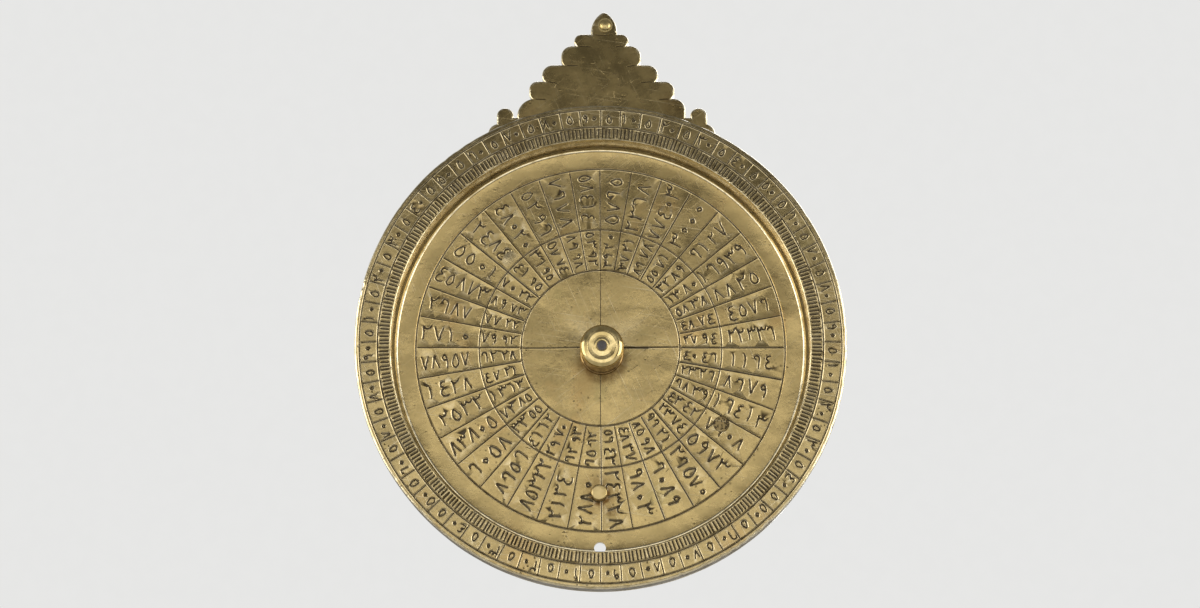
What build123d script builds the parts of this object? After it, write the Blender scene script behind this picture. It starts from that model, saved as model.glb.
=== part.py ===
"""Brass planispheric astrolabe: mater with its limb and throne, centre pin, alidade and suspension.

Millimetres. +X is to the right of someone who faces the front, +Y goes from front to back and +Z goes
up to the throne. The origin is the centre of the disc, on the front face of the womb's floor.
"""
import os
from math import asin, cos, hypot, pi, radians, sin

from build123d import *

# Mater: the round plate and the limb that is laid on its rim
plate_thickness = 2.5
limb_radius = 75.0
limb_overhang = 0.2
limb_height = 9.1
womb_radius = 63.8
limb_outer_chamfer = 0.6
limb_inner_chamfer = 0.25
limb_foot_groove = 0.45
bead_wall_gap = 0.5
bead_width = 1.1
bead_crest_width = 0.4
bead_height = 0.45

# Rivets that hold the limb to the plate
limb_rivet_count = 8
limb_rivet_radius = 1.0
limb_rivet_cover = 3.1
limb_rivet_head_radius = 1.7
limb_rivet_head_depth = 0.7

# Throne: tiers from the top down, each (half-width to the left, half-width to the right, top above the rim,
# and the shares of the tier's height that its left and right shoulders take)
throne_tiers = [
    (8.3, 8.8, 25.9, 0.6, 0.6),
    (12.4, 12.7, 22.1, 0.55, 0.55),
    (18.4, 18.1, 15.8, 0.62, 0.62),
    (22.4, 23.2, 10.4, 0.45, 0.55),
    (26.1, 26.6, 4.8, 0.9, 0.6),
    (32.5, 33.4, -1.4, 0.6, 0.6),
    (35.2, 35.9, -3.4, 0.6, 0.6),
]
throne_root = -9.0
throne_undercut_radius = 1.8
throne_tier_overlap = 0.4
side_lobe_tier = 5
side_lobe_width = 5.2
side_lobe_rise = 3.0
apex_x = 1.1
apex_width = 8.1
apex_top = 33.4
apex_bulge_share = 0.88
apex_tip_radius = 1.6
lobe_crown_share = 0.46

# Stop hole at six o'clock
stop_hole_x = -0.15
stop_hole_wall_gap = 0.3
stop_hole_radius = 1.8
stop_hole_bevel = 0.3

# Stud that keys the plates
peg_x = -0.37
peg_z = -45.3
peg_radius = 2.45
peg_height = 4.4
peg_edge_radius = 0.5
peg_shank_radius = 1.4
peg_tail_flare = 0.6
peg_tail_depth = 0.6

# Plug let into an old hole in the floor
plug_x = 36.9
plug_z = -23.8
plug_radius = 2.45

# Centre pin: it hangs low in a hole that has worn wide
pivot_x = 0.4
pivot_z = -1.85
shank_radius = 2.2
shank_tail_round = 0.9
tenon_radius = 1.4
tenon_proud = 0.12
tenon_mark_radius = 0.35
tail_length = 2.2
slot_front_margin = 0.2
sleeve_height = 10.85
sleeve_radius = 6.3
sleeve_foot_flare = 0.4
sleeve_foot_height = 0.9
sleeve_neck_depth = 0.4
sleeve_neck_height = 0.8
knob_height = 2.05
knob_radius = 6.6
knob_lip_height = 0.3
knob_groove = 0.25
knob_rim_round = 1.2
knob_ring_radius = 4.4
knob_ring_height = 0.12

# Alidade: the sighting rule at the back
alidade_thickness = 2.0
alidade_reach = 70.0
alidade_width = 11.0
alidade_hub_radius = 9.0
alidade_point_length = 13.0
reading_bevel_width = 2.2
reading_edge_thickness = 0.6
vane_distance = 50.0
vane_thickness = 1.6
vane_width = 14.0
vane_height = 13.0
vane_spring_width = 12.2
vane_spring_height = 7.4
vane_waist_width = 6.4
vane_waist_height = 10.4
vane_foot_length = 5.5
vane_foot_thickness = 1.2
vane_pad_margin = 0.8
near_sight_height = 5.4
near_sight_radius = 1.3
far_sight_height = 9.4
far_sight_radius = 0.6
vane_rivet_radius = 0.7
vane_rivet_head_radius = 1.25
vane_rivet_head_height = 0.6
vane_rivet_spacing = 7.0

# Washer and wedge that hold the alidade on
washer_thickness = 1.0
washer_radius = 5.2
wedge_thickness = 1.5
wedge_middle_width = 1.8
wedge_taper = 0.055
wedge_thin_end = 9.0
wedge_thick_end = 8.0
wedge_neck_width = 2.4
wedge_head_rise = 3.6
wedge_head_length = 5.2
wedge_head_depth = 2.4
wedge_head_turn = 28.0

# Suspension at the apex of the throne
throne_pin_x = 1.5
throne_pin_rise = 28.85
throne_pin_radius = 1.0
throne_pin_head_radius = 1.85
throne_pin_head_height = 0.9
rove_thickness = 0.35
front_rove_radius = 2.3
rear_rove_radius = 1.9
throne_pin_tail_radius = 1.6
throne_pin_tail_height = 0.7
shackle_thickness = 1.2
shackle_eye_wall = 1.4
shackle_clear = 0.5
lug_wall = 1.1
lug_width = 3.0
ring_slack = 0.45
ring_radius = 8.0
ring_wire_radius = 1.05

# Clearances, and how far a cutter runs past the face that it opens
running_gap = 0.05
face_gap = 0.05
tight_gap = 0.01
swivel_gap = 0.1
cut_past = 1.0

# Radii and places that follow from the sizes above
plate_radius = limb_radius - limb_overhang
bead_radius = womb_radius - bead_wall_gap - bead_width / 2
limb_rivet_circle = (womb_radius + limb_radius) / 2
limb_rivet_depth = limb_height - limb_rivet_cover
stop_hole_z = stop_hole_wall_gap + stop_hole_radius - womb_radius
peg_tail_radius = peg_shank_radius + peg_tail_flare
centre_hole_radius = shank_radius + hypot(pivot_x, pivot_z) + running_gap
sleeve_foot_radius = sleeve_radius + sleeve_foot_flare
sleeve_neck_radius = sleeve_radius - sleeve_neck_depth
throne_pin_z = limb_radius + throne_pin_rise
shackle_eye_radius = throne_pin_radius + swivel_gap + shackle_eye_wall
lug_hole_radius = ring_wire_radius + ring_slack
lug_radius = lug_hole_radius + lug_wall
shackle_drop = rear_rove_radius + shackle_clear + lug_radius
lug_z = throne_pin_z - shackle_drop

# Heights along Y that follow from them too; the front is the negative side
floor_face = 0.0
back_face = floor_face + plate_thickness
limb_face = floor_face - limb_height
sleeve_top = floor_face - face_gap - sleeve_height
knob_front = sleeve_top - face_gap - knob_height
alidade_front = back_face + face_gap
alidade_back = alidade_front + alidade_thickness
vane_foot_back = alidade_back + vane_foot_thickness
washer_front = alidade_back + face_gap
washer_back = washer_front + washer_thickness
wedge_front = washer_back + face_gap
slot_front = washer_back - slot_front_margin
slot_back = wedge_front + wedge_middle_width + wedge_taper * shank_radius + tight_gap
tail_end = slot_back + tail_length
shackle_front = back_face + swivel_gap
shackle_back = shackle_front + shackle_thickness
ring_centre_y = shackle_front + lug_radius


def face_plane(y):
    """The plane at depth y whose normal points to the front, with sketch coordinates (x, z)."""
    return Plane(origin=(0, y, 0), x_dir=(1, 0, 0), z_dir=(0, -1, 0))


def slab(sketch, y_front, y_back):
    """The solid between two depths whose outline is a sketch in x and z."""
    return extrude(face_plane(y_back) * sketch, amount=y_back - y_front)


def disc(x, z, radius, y_front, y_back):
    """A straight round pin or hole along Y."""
    return slab(Pos(x, z) * Circle(radius), y_front, y_back)


def through_hole(x, z, radius):
    """The cutter for a round hole through the plate."""
    return disc(x, z, radius, floor_face - cut_past, back_face + cut_past)


def turned(outline, x=0.0, z=0.0):
    """A closed wire in (radius, y), turned about the line along Y through x and z."""
    return Pos(x, 0, z) * revolve(make_face(outline), Axis.Y)


def profile(*points):
    """A closed outline of straight edges."""
    return Polyline(*points, close=True)


def dome(radius, y_edge, y_crown):
    """Arc in (radius, y) from a round edge up to the crown of a spherical dome on the axis."""
    rise = abs(y_crown - y_edge)
    sphere = (radius ** 2 + rise ** 2) / (2 * rise)
    side = 1 if y_crown > y_edge else -1
    centre = y_crown - side * sphere
    turn = asin(radius / sphere) / 2
    middle = (sphere * sin(turn), centre + side * sphere * cos(turn))
    return ThreePointArc((radius, y_edge), middle, (0, y_crown))


def box_between(low, high):
    """A box given by its two corners."""
    size = [b - a for a, b in zip(low, high)]
    middle = [(a + b) / 2 for a, b in zip(low, high)]
    return Pos(*middle) * Box(*size)


def rounded_block(left, right, foot, top, shoulders):
    """A block in x and z with a left and a right round shoulder."""
    block = Pos((left + right) / 2, (foot + top) / 2) * Rectangle(right - left, top - foot)
    for side, shoulder in zip((0, -1), shoulders):
        corner = block.vertices().group_by(Axis.Y)[-1].sort_by(Axis.X)[side]
        block = fillet(corner, shoulder)
    return block


def pointed_arch(x, half, foot, top):
    """The arch of the apex in x and z: two arcs that meet in a blunt tip."""
    middle = (foot + top) / 2
    reach = apex_bulge_share * half
    arch = make_face(
        ThreePointArc((x - half, foot), (x - reach, middle), (x, top))
        + ThreePointArc((x, top), (x + reach, middle), (x + half, foot))
        + Line((x + half, foot), (x - half, foot)))
    return fillet(arch.vertices().group_by(Axis.Y)[-1], apex_tip_radius)


def throne_sketch():
    """Outline of the throne in x and z, down into the disc."""
    outline = Sketch()
    tops = [limb_radius + tier[2] for tier in throne_tiers]
    feet = tops[1:] + [limb_radius + throne_root]
    for (left, right, _, *shares), top, foot in zip(throne_tiers, tops, feet):
        height = top - foot
        shoulders = [share * height for share in shares]
        tier = rounded_block(-left, right, foot - throne_tier_overlap, top, shoulders)
        undercut = min(throne_undercut_radius, height - max(shoulders))
        outline += fillet(tier.vertices().group_by(Axis.Y)[0], undercut)
    left, right, *_ = throne_tiers[side_lobe_tier]
    lobe_foot = feet[side_lobe_tier] - throne_tier_overlap
    lobe_top = tops[side_lobe_tier] + side_lobe_rise
    crown = lobe_crown_share * side_lobe_width
    for edge in (-left, right - side_lobe_width):
        outline += rounded_block(edge, edge + side_lobe_width, lobe_foot, lobe_top, (crown, crown))
    return outline + pointed_arch(apex_x, apex_width / 2, tops[0] - throne_tier_overlap, limb_radius + apex_top)


def limb_rivet_places():
    """Centres of the limb's rivets in x and z."""
    step = 2 * pi / limb_rivet_count
    for number in range(limb_rivet_count):
        angle = (number + 0.5) * step
        yield limb_rivet_circle * cos(angle), limb_rivet_circle * sin(angle)


def countersunk_tail(x, z, shank, head, depth, gap=0.0):
    """The cone of a tail that is peened flush with the plate's back, or with a gap the seat cut for it."""
    outline = profile(
        (0, back_face), (head + gap, back_face), (shank + gap, back_face - depth), (0, back_face - depth))
    return turned(outline, x, z)


def build_mater_plate():
    """Back plate with its throne, its bead and the holes through it."""
    plate = slab(throne_sketch() + Circle(plate_radius), floor_face, back_face)
    half = bead_width / 2
    crest = bead_crest_width / 2
    bead = profile(
        (bead_radius - half, floor_face), (bead_radius - crest, floor_face - bead_height),
        (bead_radius + crest, floor_face - bead_height), (bead_radius + half, floor_face))
    plate += turned(bead)
    plate -= through_hole(0, 0, centre_hole_radius)
    plate -= through_hole(stop_hole_x, stop_hole_z, stop_hole_radius)
    bevel_top = floor_face - bead_height
    bevel_foot = floor_face + stop_hole_bevel
    bevel = profile(
        (0, bevel_top), (stop_hole_radius + stop_hole_bevel + bead_height, bevel_top),
        (stop_hole_radius, bevel_foot), (0, bevel_foot))
    plate -= turned(bevel, stop_hole_x, stop_hole_z)
    plate -= through_hole(peg_x, peg_z, peg_shank_radius + tight_gap)
    plate -= countersunk_tail(peg_x, peg_z, peg_shank_radius, peg_tail_radius, peg_tail_depth, tight_gap)
    plate -= through_hole(plug_x, plug_z, plug_radius + tight_gap)
    plate -= through_hole(throne_pin_x, throne_pin_z, throne_pin_radius + running_gap)
    for x, z in limb_rivet_places():
        plate -= through_hole(x, z, limb_rivet_radius + tight_gap)
        plate -= countersunk_tail(
            x, z, limb_rivet_radius, limb_rivet_head_radius, limb_rivet_head_depth, tight_gap)
    return plate


def build_limb_ring():
    """Limb: the ring that walls the womb, with blind holes for its rivets."""
    outline = profile(
        (womb_radius + limb_foot_groove, floor_face),
        (womb_radius, floor_face - limb_foot_groove),
        (womb_radius, limb_face + limb_inner_chamfer),
        (womb_radius + limb_inner_chamfer, limb_face),
        (limb_radius - limb_outer_chamfer, limb_face),
        (limb_radius, limb_face + limb_outer_chamfer),
        (limb_radius, floor_face))
    ring = turned(outline)
    for x, z in limb_rivet_places():
        ring -= disc(
            x, z, limb_rivet_radius + tight_gap, floor_face - limb_rivet_depth, floor_face + cut_past)
    return ring


def build_limb_rivets():
    """The limb's rivets, each with a tail peened flush at the back."""
    rivets = []
    for x, z in limb_rivet_places():
        shank = disc(x, z, limb_rivet_radius, floor_face - limb_rivet_depth + face_gap, back_face)
        tail = countersunk_tail(x, z, limb_rivet_radius, limb_rivet_head_radius, limb_rivet_head_depth)
        rivets.append(shank + tail)
    return Compound(children=rivets)


def build_plate_peg():
    """Stud that keys the plates: a blunt round head, a shank through the floor and a flush tail."""
    top = floor_face - peg_height
    side = Polyline(
        (0, top), (0, back_face), (peg_tail_radius, back_face),
        (peg_shank_radius, back_face - peg_tail_depth), (peg_shank_radius, floor_face),
        (peg_radius, floor_face), (peg_radius, top + peg_edge_radius))
    edge = TangentArc(side @ 1, (peg_radius - peg_edge_radius, top), tangent=(0, -1))
    return turned(side + edge + Line(edge @ 1, side @ 0), peg_x, peg_z)


def build_floor_plug():
    """Plug that fills an old hole in the floor, flush on both faces."""
    return disc(plug_x, plug_z, plug_radius, floor_face, back_face)


def build_pivot_pin():
    """Iron pin: a tenon through the knob, a straight shank and a slot for the wedge."""
    front = knob_front - tenon_proud
    seat = sleeve_top - face_gap
    outline = profile(
        (0, knob_front), (tenon_mark_radius, front), (tenon_radius - tenon_proud, front),
        (tenon_radius, knob_front), (tenon_radius, seat), (shank_radius, seat),
        (shank_radius, tail_end - shank_tail_round), (shank_radius - shank_tail_round, tail_end),
        (0, tail_end))
    pin = turned(outline, pivot_x, pivot_z)
    half = wedge_thickness / 2 + running_gap
    reach = shank_radius + cut_past
    pin -= box_between(
        (pivot_x - reach, slot_front, pivot_z - half), (pivot_x + reach, slot_back, pivot_z + half))
    return pin


def build_pivot_sleeve():
    """Tall collar under the knob: a flared foot, a polished straight side and a neck."""
    inner = shank_radius + running_gap
    foot = floor_face - face_gap
    flare = foot - sleeve_foot_height / 2
    neck = sleeve_top + sleeve_neck_height
    outline = profile(
        (inner, foot), (sleeve_foot_radius, foot), (sleeve_foot_radius, flare),
        (sleeve_radius, foot - sleeve_foot_height), (sleeve_radius, neck + sleeve_neck_depth),
        (sleeve_neck_radius, neck), (sleeve_neck_radius, sleeve_top), (inner, sleeve_top))
    return turned(outline, pivot_x, pivot_z)


def build_pivot_knob():
    """Knob: a thin lip, a groove, a rounded rim and a flat face with one raised ring."""
    under = sleeve_top - face_gap
    inner = tenon_radius + tight_gap
    lip = under - knob_lip_height
    ring = knob_ring_height
    side = Polyline(
        (inner, knob_front), (inner, under), (knob_radius, under), (knob_radius, lip),
        (knob_radius - knob_groove, lip - knob_groove / 2), (knob_radius, lip - knob_groove),
        (knob_radius, knob_front + knob_rim_round))
    rim = TangentArc(side @ 1, (knob_radius - knob_rim_round, knob_front), tangent=(0, -1))
    face = Polyline(
        rim @ 1, (knob_ring_radius + ring, knob_front), (knob_ring_radius, knob_front - ring),
        (knob_ring_radius - ring, knob_front), side @ 0)
    return turned(side + rim + face, pivot_x, pivot_z)


def build_pivot_washer():
    """Loose washer behind the alidade, with a bevelled rear edge."""
    inner = shank_radius + running_gap
    bevel = washer_thickness / 2
    outline = profile(
        (inner, washer_front), (washer_radius, washer_front), (washer_radius, washer_back - bevel),
        (washer_radius - bevel, washer_back), (inner, washer_back))
    return turned(outline, pivot_x, pivot_z)


def wedge_back(x):
    """Depth of the wedge's sloping face at a distance x from the pin."""
    return wedge_front + wedge_middle_width + wedge_taper * x


def build_pivot_wedge():
    """Tapered key through the pin's slot, with a raised neck and head, as on a horse, to pull it by."""
    thin, thick = -wedge_thin_end, wedge_thick_end
    blade = profile(
        (thin, wedge_front), (thick, wedge_front), (thick, wedge_back(thick)), (thin, wedge_back(thin)))
    half_neck = wedge_neck_width / 2
    poll_x = thick + half_neck
    poll_y = wedge_back(thick) + wedge_head_rise
    neck = profile(
        (thick - wedge_neck_width, wedge_front), (thick, wedge_front),
        (poll_x + half_neck, poll_y), (poll_x - half_neck, poll_y))
    turn = radians(wedge_head_turn)
    reach = wedge_head_length / 2 - half_neck
    head = Rot(0, 0, -wedge_head_turn) * Ellipse(wedge_head_length / 2, wedge_head_depth / 2)
    head = Pos(poll_x + reach * cos(turn), poll_y - reach * sin(turn)) * head
    outline = make_face(blade) + make_face(neck) + head
    flat = Plane(origin=(pivot_x, 0, pivot_z - wedge_thickness / 2), x_dir=(1, 0, 0), z_dir=(0, 0, 1))
    return extrude(flat * outline, amount=wedge_thickness)


def alidade_arm():
    """Right half of the alidade's outline, from the pin to its point, about the pin."""
    shoulder = alidade_reach - alidade_point_length
    half = alidade_width / 2
    arm = Pos(shoulder / 2, 0) * Rectangle(shoulder, alidade_width)
    arm -= Pos(shoulder - half / 2, half / 2) * Rectangle(half, half)
    point = make_face(profile((shoulder, 0), (alidade_reach, 0), (shoulder, -half)))
    root = make_face(profile((shoulder - half, half), (shoulder, 0), (shoulder - half, 0)))
    pad_length = vane_foot_length + 2 * vane_pad_margin
    pad_x = vane_distance - vane_foot_length / 2
    pad = Pos(pad_x, 0) * Rectangle(pad_length, vane_width + 2 * vane_pad_margin)
    return arm + point + root + fillet(pad.vertices(), vane_pad_margin)


def reading_bevel():
    """The cutter that thins the reading edge of the right point, about the pin."""
    thin = alidade_front + reading_edge_thickness
    past = alidade_back + cut_past
    section = profile(
        (0, thin), (-reading_bevel_width, alidade_back), (-reading_bevel_width, past),
        (cut_past, past), (cut_past, thin))
    start = Plane(origin=(alidade_reach + cut_past, 0, 0), x_dir=(0, 0, 1), z_dir=(-1, 0, 0))
    return extrude(start * make_face(section), amount=alidade_point_length + cut_past)


def vane_rivet_places(side):
    """Centres of one vane's rivets in x and z."""
    x = pivot_x + side * (vane_distance - (vane_foot_length + vane_thickness) / 2)
    for offset in (-1, 1):
        yield x, pivot_z + offset * vane_rivet_spacing / 2


def build_alidade_bar():
    """Sighting rule: a hub on the pin, two arms and points whose bevelled edges meet the axis."""
    arm = alidade_arm()
    bar = slab(Circle(alidade_hub_radius) + arm + Rot(0, 0, 180) * arm, alidade_front, alidade_back)
    bevel = reading_bevel()
    bar -= bevel
    bar -= Rot(0, 180, 0) * bevel
    bar -= disc(0, 0, shank_radius + running_gap, alidade_front - cut_past, alidade_back + cut_past)
    bar = Pos(pivot_x, 0, pivot_z) * bar
    for side in (-1, 1):
        for x, z in vane_rivet_places(side):
            bar -= disc(
                x, z, vane_rivet_radius + tight_gap, alidade_front - cut_past, alidade_back + cut_past)
    return bar


def vane_sheet():
    """Outline of a vane: straight sides, an ogee head and its two sighting holes."""
    edge = Polyline((0, 0), (vane_width / 2, 0), (vane_spring_width / 2, vane_spring_height))
    shoulder = TangentArc(edge @ 1, (vane_waist_width / 2, vane_waist_height), tangent=(0, 1))
    crest = TangentArc(shoulder @ 1, (0, vane_height), tangent=shoulder % 1)
    sheet = make_face(edge + shoulder + crest + Line(crest @ 1, edge @ 0))
    sheet += mirror(sheet, about=Plane.YZ)
    sheet -= Pos(0, near_sight_height) * Circle(near_sight_radius)
    return sheet - Pos(0, far_sight_height) * Circle(far_sight_radius)


def build_vane(side):
    """One sighting vane: an upright with an ogee head and two holes, and a foot riveted to the bar."""
    half = vane_width / 2
    outer_x = pivot_x + side * vane_distance
    inner_x = outer_x - side * vane_thickness
    upright = Plane(
        origin=(min(outer_x, inner_x), alidade_back, pivot_z), x_dir=(0, 0, -1), z_dir=(1, 0, 0))
    vane = extrude(upright * vane_sheet(), amount=vane_thickness)
    foot_end = outer_x - side * (vane_foot_length + vane_thickness / 2)
    low_x, high_x = sorted((outer_x, foot_end))
    vane += box_between(
        (low_x, alidade_back, pivot_z - half), (high_x, vane_foot_back, pivot_z + half))
    for x, z in vane_rivet_places(side):
        vane -= disc(
            x, z, vane_rivet_radius + tight_gap, alidade_back - cut_past, vane_foot_back + cut_past)
    return vane


def build_vane_rivets(side):
    """One vane's pair of rivets, with low domed heads on its foot."""
    rivets = []
    crown = vane_foot_back + vane_rivet_head_height
    for x, z in vane_rivet_places(side):
        outline = (
            Polyline((0, crown), (0, alidade_front), (vane_rivet_radius, alidade_front),
                     (vane_rivet_radius, vane_foot_back), (vane_rivet_head_radius, vane_foot_back))
            + dome(vane_rivet_head_radius, vane_foot_back, crown))
        rivets.append(turned(outline, x, z))
    return Compound(children=rivets)


def build_throne_pin():
    """Rivet through the apex: a domed head in front and a peened tail behind the shackle."""
    seat = floor_face - rove_thickness
    crown = seat - throne_pin_head_height
    tail = shackle_back + swivel_gap + rove_thickness
    tail_crown = tail + throne_pin_tail_height
    outline = (
        Polyline((throne_pin_head_radius, seat), (throne_pin_radius, seat), (throne_pin_radius, tail),
                 (throne_pin_tail_radius, tail))
        + dome(throne_pin_tail_radius, tail, tail_crown)
        + Line((0, tail_crown), (0, crown))
        + dome(throne_pin_head_radius, seat, crown))
    return turned(outline, throne_pin_x, throne_pin_z)


def build_rove(radius, y_front):
    """Thin washer on the throne's rivet."""
    inner = throne_pin_radius + tight_gap
    y_back = y_front + rove_thickness
    outline = profile((inner, y_front), (radius, y_front), (radius, y_back), (inner, y_back))
    return turned(outline, throne_pin_x, throne_pin_z)


def build_shackle():
    """Swivel at the back of the throne: a flat eye on the rivet and a lug that the ring runs in."""
    eye = Pos(throne_pin_x, throne_pin_z) * Circle(shackle_eye_radius)
    strap = Pos(throne_pin_x, throne_pin_z - shackle_drop / 2) * Rectangle(lug_width, shackle_drop)
    shackle = slab(eye + strap, shackle_front, shackle_back)
    lug_plane = Plane(
        origin=(throne_pin_x - lug_width / 2, ring_centre_y, lug_z), x_dir=(0, 1, 0), z_dir=(1, 0, 0))
    shackle += extrude(lug_plane * Circle(lug_radius), amount=lug_width)
    bore_plane = lug_plane.offset(-cut_past)
    shackle -= extrude(bore_plane * Circle(lug_hole_radius), amount=lug_width + 2 * cut_past)
    shackle -= disc(
        throne_pin_x, throne_pin_z, throne_pin_radius + swivel_gap,
        shackle_front - cut_past, shackle_back + cut_past)
    return shackle


def build_suspension_ring():
    """Ring that the instrument hangs from, lying behind the throne."""
    centre = Plane(
        origin=(throne_pin_x, ring_centre_y, lug_z - ring_radius), x_dir=(1, 0, 0), z_dir=(0, -1, 0))
    return centre * Torus(ring_radius, ring_wire_radius)


def main():
    """Write each piece to its own file."""
    os.makedirs("parts", exist_ok=True)
    pieces = {
        "mater_plate": build_mater_plate(),
        "limb_ring": build_limb_ring(),
        "limb_rivets": build_limb_rivets(),
        "plate_peg": build_plate_peg(),
        "floor_plug": build_floor_plug(),
        "pivot_pin": build_pivot_pin(),
        "pivot_sleeve": build_pivot_sleeve(),
        "pivot_knob": build_pivot_knob(),
        "pivot_washer": build_pivot_washer(),
        "pivot_wedge": build_pivot_wedge(),
        "alidade_bar": build_alidade_bar(),
        "left_vane": build_vane(-1),
        "right_vane": build_vane(1),
        "left_vane_rivets": build_vane_rivets(-1),
        "right_vane_rivets": build_vane_rivets(1),
        "throne_pin": build_throne_pin(),
        "throne_pin_front_rove": build_rove(front_rove_radius, floor_face - rove_thickness),
        "throne_pin_rear_rove": build_rove(rear_rove_radius, shackle_back + swivel_gap),
        "shackle": build_shackle(),
        "suspension_ring": build_suspension_ring(),
    }
    for name, piece in pieces.items():
        export_step(piece, f"parts/{name}.step")


main()
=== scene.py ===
"""Looks of a hand-made brass astrolabe: engraved mater and limb, turned pin, alidade and suspension.

Lengths are in millimetres until a mesh is made, and in metres from there on. Points on a face are
(x, z), angles run from +X towards +Z, and the front of the instrument looks towards -Y.
"""

import logging
import math
import random
from collections import defaultdict
from collections.abc import Callable, Iterable, Sequence
from dataclasses import dataclass, field
from enum import Enum

import bmesh
import bpy
import numpy as np
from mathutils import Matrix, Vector
from mathutils.geometry import delaunay_2d_cdt


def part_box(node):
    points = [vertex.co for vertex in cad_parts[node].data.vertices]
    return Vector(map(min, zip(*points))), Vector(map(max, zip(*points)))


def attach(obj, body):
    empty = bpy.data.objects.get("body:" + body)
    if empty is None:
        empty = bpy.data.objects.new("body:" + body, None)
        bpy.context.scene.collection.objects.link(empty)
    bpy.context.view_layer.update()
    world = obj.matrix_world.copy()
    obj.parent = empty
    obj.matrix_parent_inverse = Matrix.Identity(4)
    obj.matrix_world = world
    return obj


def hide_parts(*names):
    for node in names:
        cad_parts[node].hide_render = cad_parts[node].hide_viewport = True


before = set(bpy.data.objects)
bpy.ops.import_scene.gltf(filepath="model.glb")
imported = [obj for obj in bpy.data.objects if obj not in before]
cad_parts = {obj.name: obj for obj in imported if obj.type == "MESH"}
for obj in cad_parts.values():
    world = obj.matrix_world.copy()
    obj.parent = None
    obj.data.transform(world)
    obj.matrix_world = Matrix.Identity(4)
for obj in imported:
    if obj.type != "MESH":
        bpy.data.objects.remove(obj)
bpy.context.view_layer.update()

LOG = logging.getLogger("astrolabe")
MM = 0.001
FULL_TURN = 2 * math.pi
# Side of the squares that the cuts are sorted into, and how level a flat face is, in millimetres
GRID = 4.0
FLAT = 0.002
# Distance within which points are welded, in metres
WELD = 2e-6
# Share of a normal along Y from which a face counts as level
LEVEL = math.cos(math.radians(0.3))
# Degrees from which an edge is broken, and from which an inward corner is a notch
BROKEN_FROM = 30.0
NOTCH_FROM = 35.0
# Degrees from which the edge of a level face shows as a crease
LEVEL_EDGE_FROM = 1.5
# Wear of a piece that is rubbed evenly all over
HANDLED = 0.3
# Most that a corner moves when its loop is inset, as a share of the inset
MITRE = 1.6

Colour = tuple[float, float, float]
Point = tuple[float, float]
Socket = bpy.types.NodeSocket


class Body(str, Enum):
    """Bodies of the frame that pieces ride on."""

    MATER = "mater"
    ALIDADE = "alidade"
    PIVOT = "pivot"
    WEDGE = "wedge"
    SHACKLE = "shackle"
    RING = "ring"


class Slot(str, Enum):
    """Material slots of the record."""

    MATER = "mater_brass"
    LIMB = "limb_brass"
    RIVET = "rivet_brass"
    PLUG = "plug_brass"
    TURNED = "turned_brass"
    IRON = "pin_iron"
    ALIDADE = "alidade_brass"
    SUSPENSION = "suspension_brass"


class Side(Enum):
    """Which way a face of the plate looks along Y."""

    FRONT = -1
    BACK = 1


class Reading(Enum):
    """Which way the figures in a sector run."""

    OUTWARD = 1
    INWARD = -1


# Numerals: strokes in a box one unit high, as a graver makes them
NUMERALS: dict[str, list[list[Point]]] = {
    "0": [[(0.20, 0.45), (0.34, 0.30), (0.48, 0.46), (0.33, 0.60), (0.20, 0.45)]],
    "1": [[(0.12, 1.0), (0.24, 0.78), (0.30, 0.40), (0.26, 0.0)]],
    "2": [[(0.08, 0.98), (0.20, 0.56), (0.26, 0.0)],
          [(0.08, 0.98), (0.26, 0.76), (0.50, 0.80), (0.60, 1.0)]],
    "3": [[(0.02, 0.98), (0.14, 0.54), (0.20, 0.0)],
          [(0.02, 0.98), (0.14, 0.78), (0.32, 0.78), (0.40, 0.98)],
          [(0.40, 0.98), (0.50, 0.78), (0.68, 0.80), (0.76, 1.0)]],
    "4": [[(0.60, 0.94), (0.28, 0.92), (0.20, 0.70), (0.46, 0.54)],
          [(0.46, 0.54), (0.16, 0.40), (0.12, 0.12), (0.34, 0.0), (0.66, 0.06)]],
    "5": [[(0.34, 0.96), (0.12, 0.56), (0.12, 0.20), (0.34, 0.06), (0.56, 0.22), (0.54, 0.58),
           (0.34, 0.96)]],
    "6": [[(0.08, 0.76), (0.14, 0.94), (0.46, 0.92), (0.52, 0.50), (0.50, 0.0)]],
    "7": [[(0.04, 1.0), (0.20, 0.44), (0.32, 0.0)], [(0.32, 0.0), (0.46, 0.50), (0.66, 1.0)]],
    "8": [[(0.04, 0.0), (0.20, 0.50), (0.34, 1.0)], [(0.34, 1.0), (0.46, 0.50), (0.66, 0.0)]],
    "9": [[(0.50, 0.72), (0.34, 0.96), (0.14, 0.80), (0.24, 0.58), (0.50, 0.66)],
          [(0.50, 0.80), (0.54, 0.40), (0.44, 0.0)]],
}
NUMERAL_ADVANCE = 0.88


def smooth_path(points: Sequence[Point], steps: int = 3) -> np.ndarray:
    """Run a Catmull-Rom line through a few given points.

    Args:
        points: The points that the line passes through.
        steps: How many pieces each span is divided into.

    Returns:
        The points of the smooth line, one row each.
    """
    knots = np.array(points, float)
    padded = np.vstack([2 * knots[0] - knots[1], knots, 2 * knots[-1] - knots[-2]])
    line = [knots[0]]
    for before, start, end, after in zip(padded, padded[1:], padded[2:], padded[3:]):
        for step in range(1, steps + 1):
            t = step / steps
            line.append(0.5 * (
                2 * start + (end - before) * t
                + (2 * before - 5 * start + 4 * end - after) * t ** 2
                + (3 * start - before - 3 * end + after) * t ** 3))
    return np.array(line)


def circle(radius: float, count: int, centre: Point = (0.0, 0.0)) -> np.ndarray:
    """Return evenly spaced points on a circle, one row each."""
    angles = np.arange(count) * FULL_TURN / count
    return np.column_stack([centre[0] + radius * np.cos(angles), centre[1] + radius * np.sin(angles)])


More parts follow.
